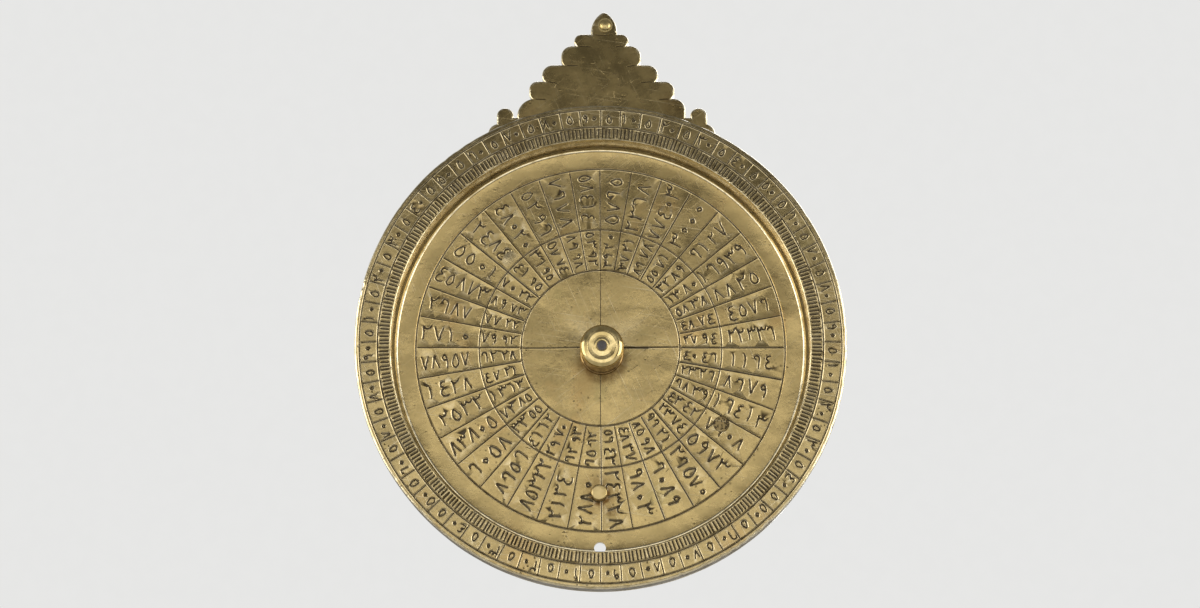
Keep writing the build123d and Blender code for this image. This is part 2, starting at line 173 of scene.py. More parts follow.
def polar(radius: float, degrees: float) -> np.ndarray:
    """Return the point at a radius and an angle in degrees."""
    return np.array([radius * math.cos(math.radians(degrees)), radius * math.sin(math.radians(degrees))])


def inside(points: np.ndarray, loop: np.ndarray) -> np.ndarray:
    """Tell which points lie inside a closed loop.

    Args:
        points: Points to test, one row each.
        loop: Corners of the loop, in order.

    Returns:
        One true or false value for each point.
    """
    hit = np.zeros(len(points), bool)
    for (x0, z0), (x1, z1) in zip(loop, np.roll(loop, -1, axis=0)):
        if z0 == z1:
            continue
        crosses = (points[:, 1] > z0) != (points[:, 1] > z1)
        reach = x0 + (points[:, 1] - z0) * (x1 - x0) / (z1 - z0)
        hit ^= crosses & (points[:, 0] < reach)
    return hit


def inset(loop: np.ndarray, distance: float) -> np.ndarray:
    """Move a closed counter-clockwise loop inwards.

    Args:
        loop: Corners of the loop, in order.
        distance: How far each side moves.

    Returns:
        The moved corners, as many as before.
    """
    ahead = np.roll(loop, -1, axis=0) - loop
    ahead /= np.linalg.norm(ahead, axis=1, keepdims=True)
    behind = np.roll(ahead, 1, axis=0)
    normal = np.column_stack([-ahead[:, 1], ahead[:, 0]]) + np.column_stack([-behind[:, 1], behind[:, 0]])
    length = np.linalg.norm(normal, axis=1, keepdims=True)
    unit = normal / np.maximum(length, 1e-6)
    return loop + unit * distance * np.minimum(2 / np.maximum(length, 1e-6), MITRE)


def flat_loops(node: str, depth: float) -> list[np.ndarray]:
    """Read the edges of a node's flat face at one depth.

    Args:
        node: Name of the CAD node.
        depth: Y of the face.

    Returns:
        The closed loops of the face, the longest first, counter-clockwise.
    """
    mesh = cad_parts[node].data
    mesh.calc_loop_triangles()
    points = np.array([vertex.co for vertex in mesh.vertices]) / MM
    keys = [tuple(row) for row in np.round(points, 3)]
    edges: dict[tuple, int] = defaultdict(int)
    for triangle in mesh.loop_triangles:
        corners = [keys[index] for index in triangle.vertices]
        if all(abs(corner[1] - depth) < FLAT for corner in corners):
            for start, end in zip(corners, corners[1:] + corners[:1]):
                edges[tuple(sorted((start, end)))] += 1
    following = defaultdict(list)
    for (start, end), count in edges.items():
        if count == 1 and start != end:
            following[start].append(end)
            following[end].append(start)
    loops, used = [], set()
    for first in following:
        if first in used:
            continue
        loop, corner = [], first
        while corner is not None:
            used.add(corner)
            loop.append((corner[0], corner[2]))
            corner = next((step for step in following[corner] if step not in used), None)
        loop = np.array(loop)
        turned = np.roll(loop, -1, axis=0)
        if np.sum(loop[:, 0] * turned[:, 1] - turned[:, 0] * loop[:, 1]) < 0:
            loop = loop[::-1]
        loops.append(loop)
    return sorted(loops, key=lambda loop: -np.ptp(loop, axis=0).sum())


def corner_turns(loop: np.ndarray) -> np.ndarray:
    """Measure how far a closed loop turns at each corner.

    Args:
        loop: Corners of the loop, in order.

    Returns:
        The turns in degrees, those to the left positive.
    """
    ahead = np.roll(loop, -1, axis=0) - loop
    headings = np.degrees(np.arctan2(ahead[:, 1], ahead[:, 0]))
    return (headings - np.roll(headings, 1) + 180) % 360 - 180


def resample(loop: np.ndarray, spacing: float, corner: float = 25.0) -> np.ndarray:
    """Divide a loop's long sides and thin out its short ones, keeping its sharp corners.

    Args:
        loop: Corners of the loop, in order.
        spacing: Rough distance between the new points.
        corner: Turn in degrees from which a point counts as a sharp corner.

    Returns:
        The new points, in order.
    """
    ahead = np.roll(loop, -1, axis=0) - loop
    sharp = np.abs(corner_turns(loop)) > corner
    kept, since = [], 0.0
    for point, step, is_sharp in zip(loop, ahead, sharp):
        length = float(np.hypot(*step))
        if is_sharp or not kept or since >= spacing:
            kept.append(point)
            since = 0.0
        pieces = int(length // spacing)
        for piece in range(1, pieces + 1):
            if length - piece * length / (pieces + 1) > spacing / 3:
                kept.append(point + step * piece / (pieces + 1))
        since = length / (pieces + 1) if pieces else since + length
    return np.array(kept)


def corner_notches(loop: np.ndarray, lowest: float) -> list[np.ndarray]:
    """Find a loop's sharp inward corners above a height.

    Args:
        loop: Corners of the loop, in order.
        lowest: Height below which corners are left out.

    Returns:
        The corners found.
    """
    return [point for point, turn in zip(loop, corner_turns(loop))
            if turn < -NOTCH_FROM and point[1] > lowest]


@dataclass
class Shell:
    """Geometry and masks of one piece while it is made, in millimetres."""

    points: list[np.ndarray] = field(default_factory=list)
    faces: list[Sequence[int]] = field(default_factory=list)
    groove: list[np.ndarray] = field(default_factory=list)
    wear: list[np.ndarray] = field(default_factory=list)
    count: int = 0

    def add(self, points: np.ndarray, faces: Iterable[Sequence[int]], groove: np.ndarray | float = 0.0,
            wear: np.ndarray | float = 0.0) -> None:
        """Add points and the faces between them.

        Args:
            points: Points in x, y and z, one row each.
            faces: Indices into these points.
            groove: How dirty each point is, from 0 to 1.
            wear: How rubbed bright each point is, from 0 to 1.
        """
        self.points.append(points)
        self.faces.extend([tuple(index + self.count for index in face) for face in faces])
        self.groove.append(np.broadcast_to(groove, len(points)))
        self.wear.append(np.broadcast_to(wear, len(points)))
        self.count += len(points)

    def strips(self, rows: Sequence[np.ndarray], wear: Sequence[float] | float = 0.0,
               groove: Sequence[float] | float = 0.0, closed: bool = False) -> None:
        """Join rows of points, each a closed ring with as many points, by quads.

        Args:
            rows: Rings of points in x, y and z.
            wear: Brightness of each row's points.
            groove: Dirt of each row's points.
            closed: Whether the last row joins the first.
        """
        size = len(rows[0])
        wears = np.repeat(np.broadcast_to(wear, len(rows)), size)
        grooves = np.repeat(np.broadcast_to(groove, len(rows)), size)
        spans = [(row, (row + 1) % len(rows)) for row in range(len(rows) if closed else len(rows) - 1)]
        faces = [
            (low * size + turn, low * size + (turn + 1) % size, high * size + (turn + 1) % size,
             high * size + turn)
            for low, high in spans for turn in range(size)]
        self.add(np.vstack(rows), faces, grooves, wears)

    def make(self, name: str, sharp: float = 18.0) -> bpy.types.Object:
        """Weld what was added into one object.

        Args:
            name: Name of the object.
            sharp: Angle in degrees from which an edge shows as a crease.

        Returns:
            The new object, linked to the scene.
        """
        mesh = bpy.data.meshes.new(name)
        mesh.from_pydata(np.vstack(self.points) * MM, [], self.faces)
        for mask, values in (("groove", self.groove), ("wear", self.wear)):
            layer = mesh.attributes.new(mask, "FLOAT", "POINT")
            layer.data.foreach_set("value", np.concatenate(values).astype(np.float32))
        return finish_mesh(mesh, name, sharp)


def placed(name: str, data: bpy.types.ID) -> bpy.types.Object:
    """Make an object and link it to the scene.

    Args:
        name: Name of the object.
        data: Its mesh, lamp or camera.

    Returns:
        The new object.
    """
    thing = bpy.data.objects.new(name, data)
    bpy.context.scene.collection.objects.link(thing)
    return thing


def finish_mesh(mesh: bpy.types.Mesh, name: str, sharp: float = 28.0) -> bpy.types.Object:
    """Weld a mesh, turn its faces outwards and link it to the scene.

    Args:
        mesh: The mesh, in metres.
        name: Name of the object.
        sharp: Angle in degrees from which an edge shows as a crease.

    Returns:
        The new object.
    """
    work = bmesh.new()
    work.from_mesh(mesh)
    bmesh.ops.remove_doubles(work, verts=work.verts, dist=WELD)
    bmesh.ops.dissolve_degenerate(work, edges=work.edges, dist=WELD)
    bmesh.ops.recalc_face_normals(work, faces=work.faces)
    for face in work.faces:
        face.smooth = True
    for edge in work.edges:
        if len(edge.link_faces) == 2:
            first, second = (face.normal for face in edge.link_faces)
            turn = math.degrees(first.angle(second, 0.0))
            leaves_flat = (abs(first.y) > LEVEL) != (abs(second.y) > LEVEL)
            edge.smooth = turn < sharp and not (leaves_flat and turn > LEVEL_EDGE_FROM)
    work.to_mesh(mesh)
    work.free()
    return placed(name, mesh)


def at_depth(points: np.ndarray, depth: np.ndarray | float) -> np.ndarray:
    """Put points of a face at a depth along Y."""
    return np.column_stack([points[:, 0], np.broadcast_to(depth, len(points)), points[:, 1]])


@dataclass
class Cut:
    """One V-shaped stroke of the graver."""

    line: np.ndarray
    half: np.ndarray
    depth: np.ndarray
    lip: float = 1.0


@dataclass(frozen=True)
class Hand:
    """How uneven the engraver's figures are: shares of a figure's height or of a cut's width."""

    sizes: Point = (0.9, 1.08)
    leans: Point = (-0.12, 0.16)
    rise: float = 0.06
    shake: float = 0.025
    weights: Point = (0.85, 1.2)


@dataclass
class Engraving:
    """A flat face with its border, its holes and everything that is cut into it or stands on it."""

    border: np.ndarray
    holes: list[np.ndarray]
    rng: random.Random
    hand: Hand = Hand()
    tip: float = 0.45
    tip_share: float = 0.45
    drift_span: float = 5.0
    full_dirt: float = 0.16
    shallowest: float = 0.006
    burr: float = 0.065
    burr_width: float = 0.19
    burr_shine: float = 0.5
    full_burr_from: float = 0.14
    crest_start: float = 0.34
    crest_fade: float = 0.22
    crest_shine: float = 0.9
    fewest_points: int = 96
    points_per_mm: float = 4.8
    cuts: list[Cut] = field(default_factory=list)
    rounds: list[tuple[float, float, float]] = field(default_factory=list)
    levels: list[tuple[float, float]] = field(default_factory=list)
    guides: list[np.ndarray] = field(default_factory=list)

    def stroke(self, line: Sequence[Point] | np.ndarray, width: float, depth: float,
               lip: float = 1.0) -> None:
        """Cut along a line, with a short point at each end.

        Args:
            line: Points of the line.
            width: Width of the cut at the surface.
            depth: Depth of the cut in the middle.
            lip: Share of the full burr that stands beside it.
        """
        path = np.array(line, float)
        first = path[1] - path[0]
        last = path[-2] - path[-1]
        lead = min(self.tip, self.tip_share * float(np.hypot(*first)))
        trail = min(self.tip, self.tip_share * float(np.hypot(*last)))
        path = np.vstack([
            path[0], path[0] + first * lead / np.hypot(*first), path[1:-1],
            path[-1] + last * trail / np.hypot(*last), path[-1]])
        half = np.full(len(path), width / 2)
        deep = np.full(len(path), depth)
        for end in (0, -1):
            half[end] = 0.0
            deep[end] = 0.0
        self.cuts.append(Cut(path, half, deep, lip))

    def line(self, start: Sequence[float], end: Sequence[float], width: float, depth: float,
             waver: float = 0.0, lip: float = 1.0) -> None:
        """Cut a ruled line that wavers a little, as a hand-held graver does.

        Args:
            start: One end.
            end: The other end.
            width: Width of the cut at the surface.
            depth: Depth of the cut in the middle.
            waver: Largest sideways drift.
            lip: Share of the full burr that stands beside it.
        """
        a, b = np.array(start, float), np.array(end, float)
        along = b - a
        across = np.array([-along[1], along[0]]) / np.hypot(*along)
        count = max(1, int(np.hypot(*along) // self.drift_span))
        steps = [0.0] + [k / (count + 1) for k in range(1, count + 1)] + [1.0]
        drift = [self.rng.uniform(-waver, waver) for _ in steps]
        self.stroke([a + along * t + across * d for t, d in zip(steps, drift)], width, depth, lip)

    def scratch(self, spot: np.ndarray, lengths: Point, width: float, depth: float, lip: float) -> None:
        """Scratch a short line from a point, in any direction.

        Args:
            spot: Where it starts.
            lengths: Its least and greatest length.
            width: Width of the scratch at the surface.
            depth: Its depth in the middle.
            lip: Share of the full burr that stands beside it.
        """
        tail = spot + polar(self.rng.uniform(*lengths), self.rng.uniform(0, 360))
        self.line(spot, tail, width, depth, lip=lip)

    def full_circle(self, radius: float, width: float, depth: float) -> None:
        """Cut a full circle about the centre of the disc."""
        self.rounds.append((radius, width / 2, depth))

    def figures(self, text: str, origin: np.ndarray, along: np.ndarray, height: float, width: float,
                depth: float, squeeze: float = 1.0) -> None:
        """Cut a row of numerals, centred on a point.

        Args:
            text: Digits to cut.
            origin: Middle of the row.
            along: Unit vector of the writing direction.
            height: Height of a digit.
            width: Width of the cuts.
            depth: Depth of the cuts.
            squeeze: Scale of the digits along the row.
        """
        hand = self.hand
        up = np.array([-along[1], along[0]])
        advance = NUMERAL_ADVANCE * height * squeeze
        pen = origin - along * advance * len(text) / 2 - up * height / 2
        for digit in text:
            size = height * self.rng.uniform(*hand.sizes)
            lean = self.rng.uniform(*hand.leans)
            rise = self.rng.uniform(-hand.rise, hand.rise) * height
            for strokes in NUMERALS[digit]:
                shape = smooth_path(strokes, 2)
                shakes = [self.rng.uniform(-hand.shake, hand.shake) for _ in range(shape.size)]
                shape = shape + np.array(shakes).reshape(shape.shape)
                across = (shape[:, 0] + lean * (shape[:, 1] - 0.5)) * size * squeeze
                tall = shape[:, 1] * size + rise
                heavy = width * self.rng.uniform(*hand.weights)
                self.stroke(pen + np.outer(across, along) + np.outer(tall, up), heavy, depth)
            pen = pen + along * advance

    def wires(self) -> tuple[list[np.ndarray], list[bool]]:
        """List every line that the face's mesh has to follow.

        Returns:
            The lines, and for each whether it is closed.
        """
        lines = [self.border, *self.holes]
        for radius, half, _ in self.rounds:
            reach = half + self.burr_width
            for rim in (radius - reach, radius - half, radius, radius + half, radius + reach):
                lines.append(circle(rim, self.round_points(radius)))
        lines += [circle(radius, self.round_points(radius)) for radius, _ in self.levels]
        lines += self.guides
        closed = [True] * len(lines)
        for cut in self.cuts:
            ahead = np.gradient(cut.line, axis=0)
            ahead /= np.maximum(np.linalg.norm(ahead, axis=1, keepdims=True), 1e-9)
            across = np.column_stack([-ahead[:, 1], ahead[:, 0]])
            reach = cut.half + self.burr_width * self.fullness(cut.half)
            lines.append(cut.line)
            for distance in (cut.half, -cut.half, reach, -reach):
                lines.append(cut.line + across * distance[:, None])
            closed += [False] * 5
        return lines, closed

    def round_points(self, radius: float) -> int:
        """Return how many points the mesh gets round a circle."""
        return max(self.fewest_points, int(radius * self.points_per_mm))

    def fullness(self, half: np.ndarray) -> np.ndarray:
        """Return how full the burr is where a cut has a half-width: none at the pointed ends."""
        return np.clip(half / self.full_burr_from, 0, 1)

    def relief(self, points: np.ndarray) -> tuple[np.ndarray, np.ndarray]:
        """Work out the cuts and their burrs at some points of the face.

        Args:
            points: Points of the face, one row each.

        Returns:
            How deep the cuts are, and how high the burrs beside them stand, at each point.
        """
        radii = np.hypot(points[:, 0], points[:, 1])
        deep = np.zeros(len(points))
        burr = np.zeros(len(points))
        for radius, half, depth in self.rounds:
            away = np.abs(radii - radius)
            deep = np.maximum(deep, depth * (1 - away / half))
            burr = np.maximum(burr, self.burr * (1 - np.abs(away - half) / self.burr_width))
        starts = np.vstack([cut.line[:-1] for cut in self.cuts])
        ends = np.vstack([cut.line[1:] for cut in self.cuts])
        halves = np.vstack([np.column_stack([cut.half[:-1], cut.half[1:]]) for cut in self.cuts])
        depths = np.vstack([np.column_stack([cut.depth[:-1], cut.depth[1:]]) for cut in self.cuts])
        lips = np.concatenate([np.full(len(cut.line) - 1, cut.lip) for cut in self.cuts])
        reach = halves.max(axis=1, keepdims=True) + self.burr_width
        low = np.floor((np.minimum(starts, ends) - reach) / GRID).astype(int)
        high = np.floor((np.maximum(starts, ends) + reach) / GRID).astype(int)
        cells = defaultdict(list)
        for index, (first, last) in enumerate(zip(low, high)):
            for column in range(first[0], last[0] + 1):
                for row in range(first[1], last[1] + 1):
                    cells[column, row].append(index)
        members = defaultdict(list)
        for index, key in enumerate(np.floor(points / GRID).astype(int)):
            members[key[0], key[1]].append(index)
        for key, indices in members.items():
            near = cells.get(key)
            if not near:
                continue
            here = points[indices][:, None, :]
            a, b = starts[near][None], ends[near][None]
            along = b - a
            t = np.clip(((here - a) * along).sum(2) / np.maximum((along ** 2).sum(2), 1e-12), 0, 1)
            away = np.linalg.norm(here - a - along * t[..., None], axis=2)
            half = halves[near][:, 0] * (1 - t) + halves[near][:, 1] * t
            depth = depths[near][:, 0] * (1 - t) + depths[near][:, 1] * t
            found = depth * (1 - away / np.maximum(half, 1e-6))
            deep[indices] = np.maximum(deep[indices], found.max(axis=1))
            full = self.fullness(half)
            rise = 1 - np.abs(away - half) / np.maximum(self.burr_width * full, 1e-6)
            burr[indices] = np.maximum(burr[indices], (self.burr * lips[near] * full * rise).max(axis=1))
        deep = np.where(deep < self.shallowest, 0.0, deep)
        return deep, np.where(deep > 0, 0.0, burr)

    def spread(self, shell: Shell, side: Side, face_y: float,
               dirt: Callable[[np.ndarray], np.ndarray] | None = None) -> None:
        """Fill the face between its border and holes, and cut it.

        Args:
            shell: The shell that receives the face.
            side: Which way the face looks.
            face_y: Depth of the uncut surface along Y.
            dirt: Extra dirt at points of the face, if any.
        """
        lines, closed = self.wires()
        coordinates = np.vstack(lines)
        edges, start = [], 0
        for path, ring in zip(lines, closed):
            size = len(path)
            edges += [(start + k, start + k + 1) for k in range(size - 1)]
            if ring:
                edges.append((start + size - 1, start))
            start += size
        found, _, faces, *_ = delaunay_2d_cdt([Vector(point) for point in coordinates], edges, [], 0, 1e-4)
        points = np.array([tuple(point) for point in found])
        triangles = np.array([face for face in faces if len(face) == 3])
        middles = points[triangles].mean(axis=1)
        keep = inside(middles, self.border)
        for hole in self.holes:
            keep &= ~inside(middles, hole)
        triangles = triangles[keep]
        used, flat = np.unique(triangles, return_inverse=True)
        points = points[used]
        triangles = flat.reshape(triangles.shape)
        deep, burr = self.relief(points)
        lift = np.zeros(len(points))
        if self.levels:
            radii, heights = zip(*self.levels)
            lift = np.interp(np.hypot(points[:, 0], points[:, 1]), radii, heights)
        y = face_y + side.value * (lift + burr - deep)
        groove = np.clip(deep / self.full_dirt, 0, 1)
        if dirt is not None:
            groove = np.maximum(groove, dirt(points))
        crest = np.clip((lift - self.crest_start) / self.crest_fade, 0, self.crest_shine)
        shine = np.maximum(self.burr_shine * burr / self.burr, crest)
        shell.add(at_depth(points, y), triangles.tolist(), groove, shine)


class Painter:
    """Short calls that add and join the shader nodes of one material."""

    def __init__(self, name: str) -> None:
        """Start a material with a principled shader and object coordinates.

        Args:
            name: Name of the material.
        """
        self.material = bpy.data.materials.new(name)
        self.material.use_nodes = True
        self.tree = self.material.node_tree
        self.tree.nodes.clear()
        self.shader = self.tree.nodes.new("ShaderNodeBsdfPrincipled")
        output = self.tree.nodes.new("ShaderNodeOutputMaterial")
        self.tree.links.new(self.shader.outputs["BSDF"], output.inputs["Surface"])
        self.place = self.tree.nodes.new("ShaderNodeTexCoord").outputs["Object"]

    def put(self, socket: Socket, value: object) -> None:
        """Join a socket to another socket, or give it a plain value.

        Args:
            socket: The input to fill.
            value: An output to join it to, or the value itself.
        """
        if isinstance(value, Socket):
            self.tree.links.new(value, socket)
        elif isinstance(value, tuple) and len(value) == 3 and socket.type == "RGBA":
            socket.default_value = (*value, 1.0)
        else:
            socket.default_value = value

    def math(self, operation: str, first: object, second: object = 0.0) -> Socket:
        """Add a math node and return its result.

        Args:
            operation: Name of the operation.
            first: First value or output.
            second: Second value or output.

        Returns:
            The node's result.
        """
        node = self.tree.nodes.new("ShaderNodeMath")
        node.operation = operation
        self.put(node.inputs[0], first)
        self.put(node.inputs[1], second)
        return node.outputs[0]

    def scaled(self, stretch: Sequence[float], turn: Sequence[float] = (0, 0, 0)) -> Socket:
        """Return object coordinates that are turned and then stretched.

        Args:
            stretch: Scale along each axis.
            turn: Rotation about each axis, in degrees.

        Returns:
            The new coordinates.
        """
        turned = self.tree.nodes.new("ShaderNodeMapping")
        self.put(turned.inputs["Vector"], self.place)
        turned.inputs["Rotation"].default_value = [math.radians(angle) for angle in turn]
        sized = self.tree.nodes.new("ShaderNodeMapping")
        self.put(sized.inputs["Vector"], turned.outputs[0])
        sized.inputs["Scale"].default_value = stretch
        return sized.outputs[0]

    def noise(self, scale: float, detail: float = 4.0, rough: float = 0.55,
              place: Socket | None = None) -> Socket:
        """Add a noise texture and return its value.

        Args:
            scale: Scale of the noise, per metre.
            detail: How many octaves it has.
            rough: Weight of the fine octaves.
            place: Coordinates, the object's own if left out.

        Returns:
            The noise, about 0.5 on average.
        """
        node = self.tree.nodes.new("ShaderNodeTexNoise")
        self.put(node.inputs["Vector"], place or self.place)
        node.inputs["Scale"].default_value = scale
        node.inputs["Detail"].default_value = detail
        node.inputs["Roughness"].default_value = rough
        return node.outputs["Fac"]

    def cells(self, scale: float) -> Socket:
        """Add a cell texture and return the distance to the nearest cell's centre.

        Args:
            scale: Cells per metre.

        Returns:
            The distance, in cells.
        """
        node = self.tree.nodes.new("ShaderNodeTexVoronoi")
        self.put(node.inputs["Vector"], self.place)
        node.inputs["Scale"].default_value = scale
        return node.outputs["Distance"]

    def ramp(self, value: Socket, low: float, high: float, start: float = 0.0,
             end: float = 1.0) -> Socket:
        """Map a range of a value smoothly onto another range.

        Args:
            value: The value to map.
            low: Value that gives start.
            high: Value that gives end.
            start: Result at low.
            end: Result at high.

        Returns:
            The mapped value, held between start and end.
        """
        node = self.tree.nodes.new("ShaderNodeMapRange")
        node.interpolation_type = "SMOOTHSTEP"
        self.put(node.inputs["Value"], value)
        for name, number in (("From Min", low), ("From Max", high), ("To Min", start), ("To Max", end)):
            node.inputs[name].default_value = number
        return node.outputs["Result"]

    def mix(self, share: object, first: object, second: object) -> Socket:
        """Mix two colours and return the result.

        Args:
            share: How much of the second colour shows.
            first: First colour or output.
            second: Second colour or output.

        Returns:
            The mixed colour.
        """
        node = self.tree.nodes.new("ShaderNodeMix")
        node.data_type = "RGBA"
        self.put(node.inputs["Factor"], share)
        self.put(node.inputs["A"], first)
        self.put(node.inputs["B"], second)
        return node.outputs["Result"]

    def mask(self, name: str) -> Socket:
        """Read one of the mesh's masks.

        Args:
            name: Name of the mask.

        Returns:
            Its value.
        """
        node = self.tree.nodes.new("ShaderNodeAttribute")
        node.attribute_name = name
        return node.outputs["Fac"]

    def axis(self, name: str) -> Socket:
        """Read one object coordinate, in metres.

        Args:
            name: X, Y or Z.

        Returns:
            The coordinate.
        """
        node = self.tree.nodes.new("ShaderNodeSeparateXYZ")
        self.put(node.inputs[0], self.place)
        return node.outputs[name]

    def away_from(self, x: float, z: float) -> Socket:
        """Return the distance from a line along Y through a point, in metres.

        Args:
            x: Where the line stands along X, in millimetres.
            z: Where it stands along Z, in millimetres.

        Returns:
            The distance.
        """
        across = self.math("POWER", self.math("SUBTRACT", self.axis("X"), x * MM), 2.0)
        up = self.math("POWER", self.math("SUBTRACT", self.axis("Z"), z * MM), 2.0)
        return self.math("SQRT", self.math("ADD", across, up))

    def bump(self, height: Socket, distance: float, strength: float = 1.0,
             under: Socket | None = None) -> Socket:
        """Tilt the surface by a height.

        Args:
            height: The height, from 0 to 1.
            distance: Its size in metres.
            strength: How much of it counts.
            under: Normal that it is laid on, if any.

        Returns:
            The tilted normal.
        """
        node = self.tree.nodes.new("ShaderNodeBump")
        self.put(node.inputs["Height"], height)
        node.inputs["Distance"].default_value = distance
        node.inputs["Strength"].default_value = strength
        if under is not None:
            self.put(node.inputs["Normal"], under)
        return node.outputs["Normal"]


def tinted(colour: Colour, tint: Colour) -> Colour:
    """Return a colour with its channels multiplied by a tint's."""
    return tuple(channel * share for channel, share in zip(colour, tint))


def shaded(colour: Colour, share: float) -> Colour:
    """Return a colour with all its channels multiplied by a share."""
    return tuple(channel * share for channel in colour)


@dataclass(frozen=True)
class Stain:
    """A round darker patch about a line along Y, used for spots of tarnish and for painted shadows."""

    x: float
    z: float
    inner: float
    outer: float
    strength: float


@dataclass(frozen=True)
class AgedBrass:
    """Hand-finished brass with cloudy patina, scratches, pits and dirt in its cuts; where asked, also
    painted shade on the top, painted shadows and a band of painted sheen.

    Scales are per metre, and the depths of the relief are in metres.
    """

    name: str
    metal: Colour
    clouded: Colour
    dirt: Colour = (0.055, 0.038, 0.016)
    bright: Colour = (0.94, 0.82, 0.55)
    reddish: Colour = (1.0, 0.80, 0.66)
    greenish: Colour = (0.86, 1.0, 0.96)
    grimy: Colour = (2.4, 1.9, 1.4)
    roughness: float = 0.26
    scratches: float = 0.8
    scratch_angles: tuple[float, ...] = (24.0, -52.0, 81.0)
    scratch_stretch: tuple[float, float, float] = (2600.0, 2600.0, 34.0)
    scratch_share: float = 0.35
    scratch_depth: float = 0.000012
    cloud_scale: float = 26.0
    cloud_depth: float = 0.0014
    speckle_scale: float = 1300.0
    warm_scale: float = 58.0
    green_scale: float = 76.0
    pit_scale: float = 560.0
    pit_patch_scale: float = 110.0
    pit_depth: float = 0.00008
    pits: float = 0.5
    wear_scale: float = 300.0
    polish_scale: float = 130.0
    ripple_scale: float = 120.0
    ripple_depth: float = 0.00016
    grain_scale: float = 900.0
    grain_depth: float = 0.00003
    stain_scale: float = 500.0
    # Painted shade on the top: the height where it starts, how far it fades, its share and its tone
    dark_above: float | None = None
    dark_fade: float = 5.0
    dark_share: float = 0.45
    dark_shade: float = 0.42
    stains: tuple[Stain, ...] = ()
    # Band of less patina by the bead: part polish, part painted sheen
    burnished: tuple[float, float] | None = None
    burnished_fade: tuple[float, float] = (1.2, 0.5)
    burnished_scale: float = 70.0
    burnished_shade: float = 0.92

    def make(self) -> bpy.types.Material:
        """Build the material.

        Returns:
            The new material.
        """
        p = Painter(self.name)
        colour = self.patina(p)
        specks = p.math("MULTIPLY", p.ramp(p.cells(self.pit_scale), 0.24, 0.10),
                        p.ramp(p.noise(self.pit_patch_scale), 0.50, 0.60))
        specks = p.math("MULTIPLY", specks, self.pits)
        colour = p.mix(specks, colour, self.dirt)
        rubbed = self.scratch_mask(p)
        colour = p.mix(p.math("MULTIPLY", rubbed, self.scratch_share * self.scratches), colour, self.bright)
        colour = self.marked(p, colour)
        dirty = p.ramp(p.mask("groove"), 0.08, 0.50)
        colour = p.mix(dirty, colour, self.dirt)
        worn = p.math("MULTIPLY", p.mask("wear"),
                      p.ramp(p.noise(self.wear_scale, 3.0), 0.30, 0.55, 0.35, 1.0))
        colour = p.mix(worn, colour, self.bright)
        p.put(p.shader.inputs["Base Color"], colour)
        p.put(p.shader.inputs["Metallic"], p.ramp(p.mask("groove"), 0.3, 0.8, 1.0, 0.25))
        polish = p.ramp(p.noise(self.polish_scale, 5.0), 0.3, 0.7, self.roughness - 0.07,
                        self.roughness + 0.09)
        rough = p.math("ADD", polish, p.math("MULTIPLY", dirty, 0.25))
        rough = p.math("SUBTRACT", rough, p.math("MULTIPLY", worn, 0.12))
        p.put(p.shader.inputs["Roughness"], rough)
        normal = p.bump(p.noise(self.cloud_scale, 2.0, 0.4), self.cloud_depth, 1.0)
        normal = p.bump(p.noise(self.ripple_scale, 2.0, 0.5), self.ripple_depth, 1.0, normal)
        normal = p.bump(p.noise(self.grain_scale, 4.0, 0.6), self.grain_depth, 1.0, normal)
        normal = p.bump(p.math("MULTIPLY", specks, -1.0), self.pit_depth, 1.0, normal)
        normal = p.bump(p.math("MULTIPLY", rubbed, -1.0), self.scratch_depth, self.scratches, normal)
        p.put(p.shader.inputs["Normal"], normal)
        return p.material

    def patina(self, p: Painter) -> Socket:
        """Lay clouds, fine speckles, and warm and green patches over the metal.

        Args:
            p: The material that receives them.

        Returns:
            The colour so far.
        """
        broad = p.ramp(p.noise(self.cloud_scale, 5.0, 0.55), 0.38, 0.74, 0.0, 0.52)
        fine = p.ramp(p.noise(self.speckle_scale, 6.0, 0.7), 0.44, 0.74)
        colour = p.mix(broad, self.metal, self.clouded)
        colour = p.mix(p.math("MULTIPLY", fine, 0.30), colour, self.dirt)
        warm = p.ramp(p.noise(self.warm_scale, 3.0), 0.56, 0.72, 0.0, 0.30)
        colour = p.mix(warm, colour, tinted(self.metal, self.reddish))
        green = p.ramp(p.noise(self.green_scale, 3.0, 0.5, p.scaled((1, 1, 1), (40, 0, 70))),
                       0.60, 0.74, 0.0, 0.28)
        return p.mix(green, colour, tinted(self.clouded, self.greenish))

    def marked(self, p: Painter, colour: Socket) -> Socket:
        """Paint shade on the top, and add the dark patches, some of them painted shadows, and the band of
        polish and painted sheen.

        Args:
            p: The material that receives them.
            colour: The colour under them.

        Returns:
            The colour with them.
        """
        # Painted shade: above a height the metal is mixed towards a darker tone, as less light reaches the
        # top.
        if self.dark_above is not None:
            shade = p.ramp(p.axis("Z"), (self.dark_above - self.dark_fade) * MM,
                           (self.dark_above + self.dark_fade) * MM, 0.0, self.dark_share)
            colour = p.mix(shade, colour, shaded(self.clouded, self.dark_shade))
        # Dark patches: spots of tarnish, and painted shadows cast by the knob and the peg.
        for dark_patch in self.stains:
            ring = p.ramp(p.away_from(dark_patch.x, dark_patch.z), dark_patch.outer * MM, dark_patch.inner * MM)
            patchy = p.ramp(p.noise(self.stain_scale, 4.0), 0.34, 0.58, 0.35, 1.0)
            share = p.math("MULTIPLY", p.math("MULTIPLY", ring, patchy), dark_patch.strength)
            colour = p.mix(share, colour, tinted(self.dirt, self.grimy))
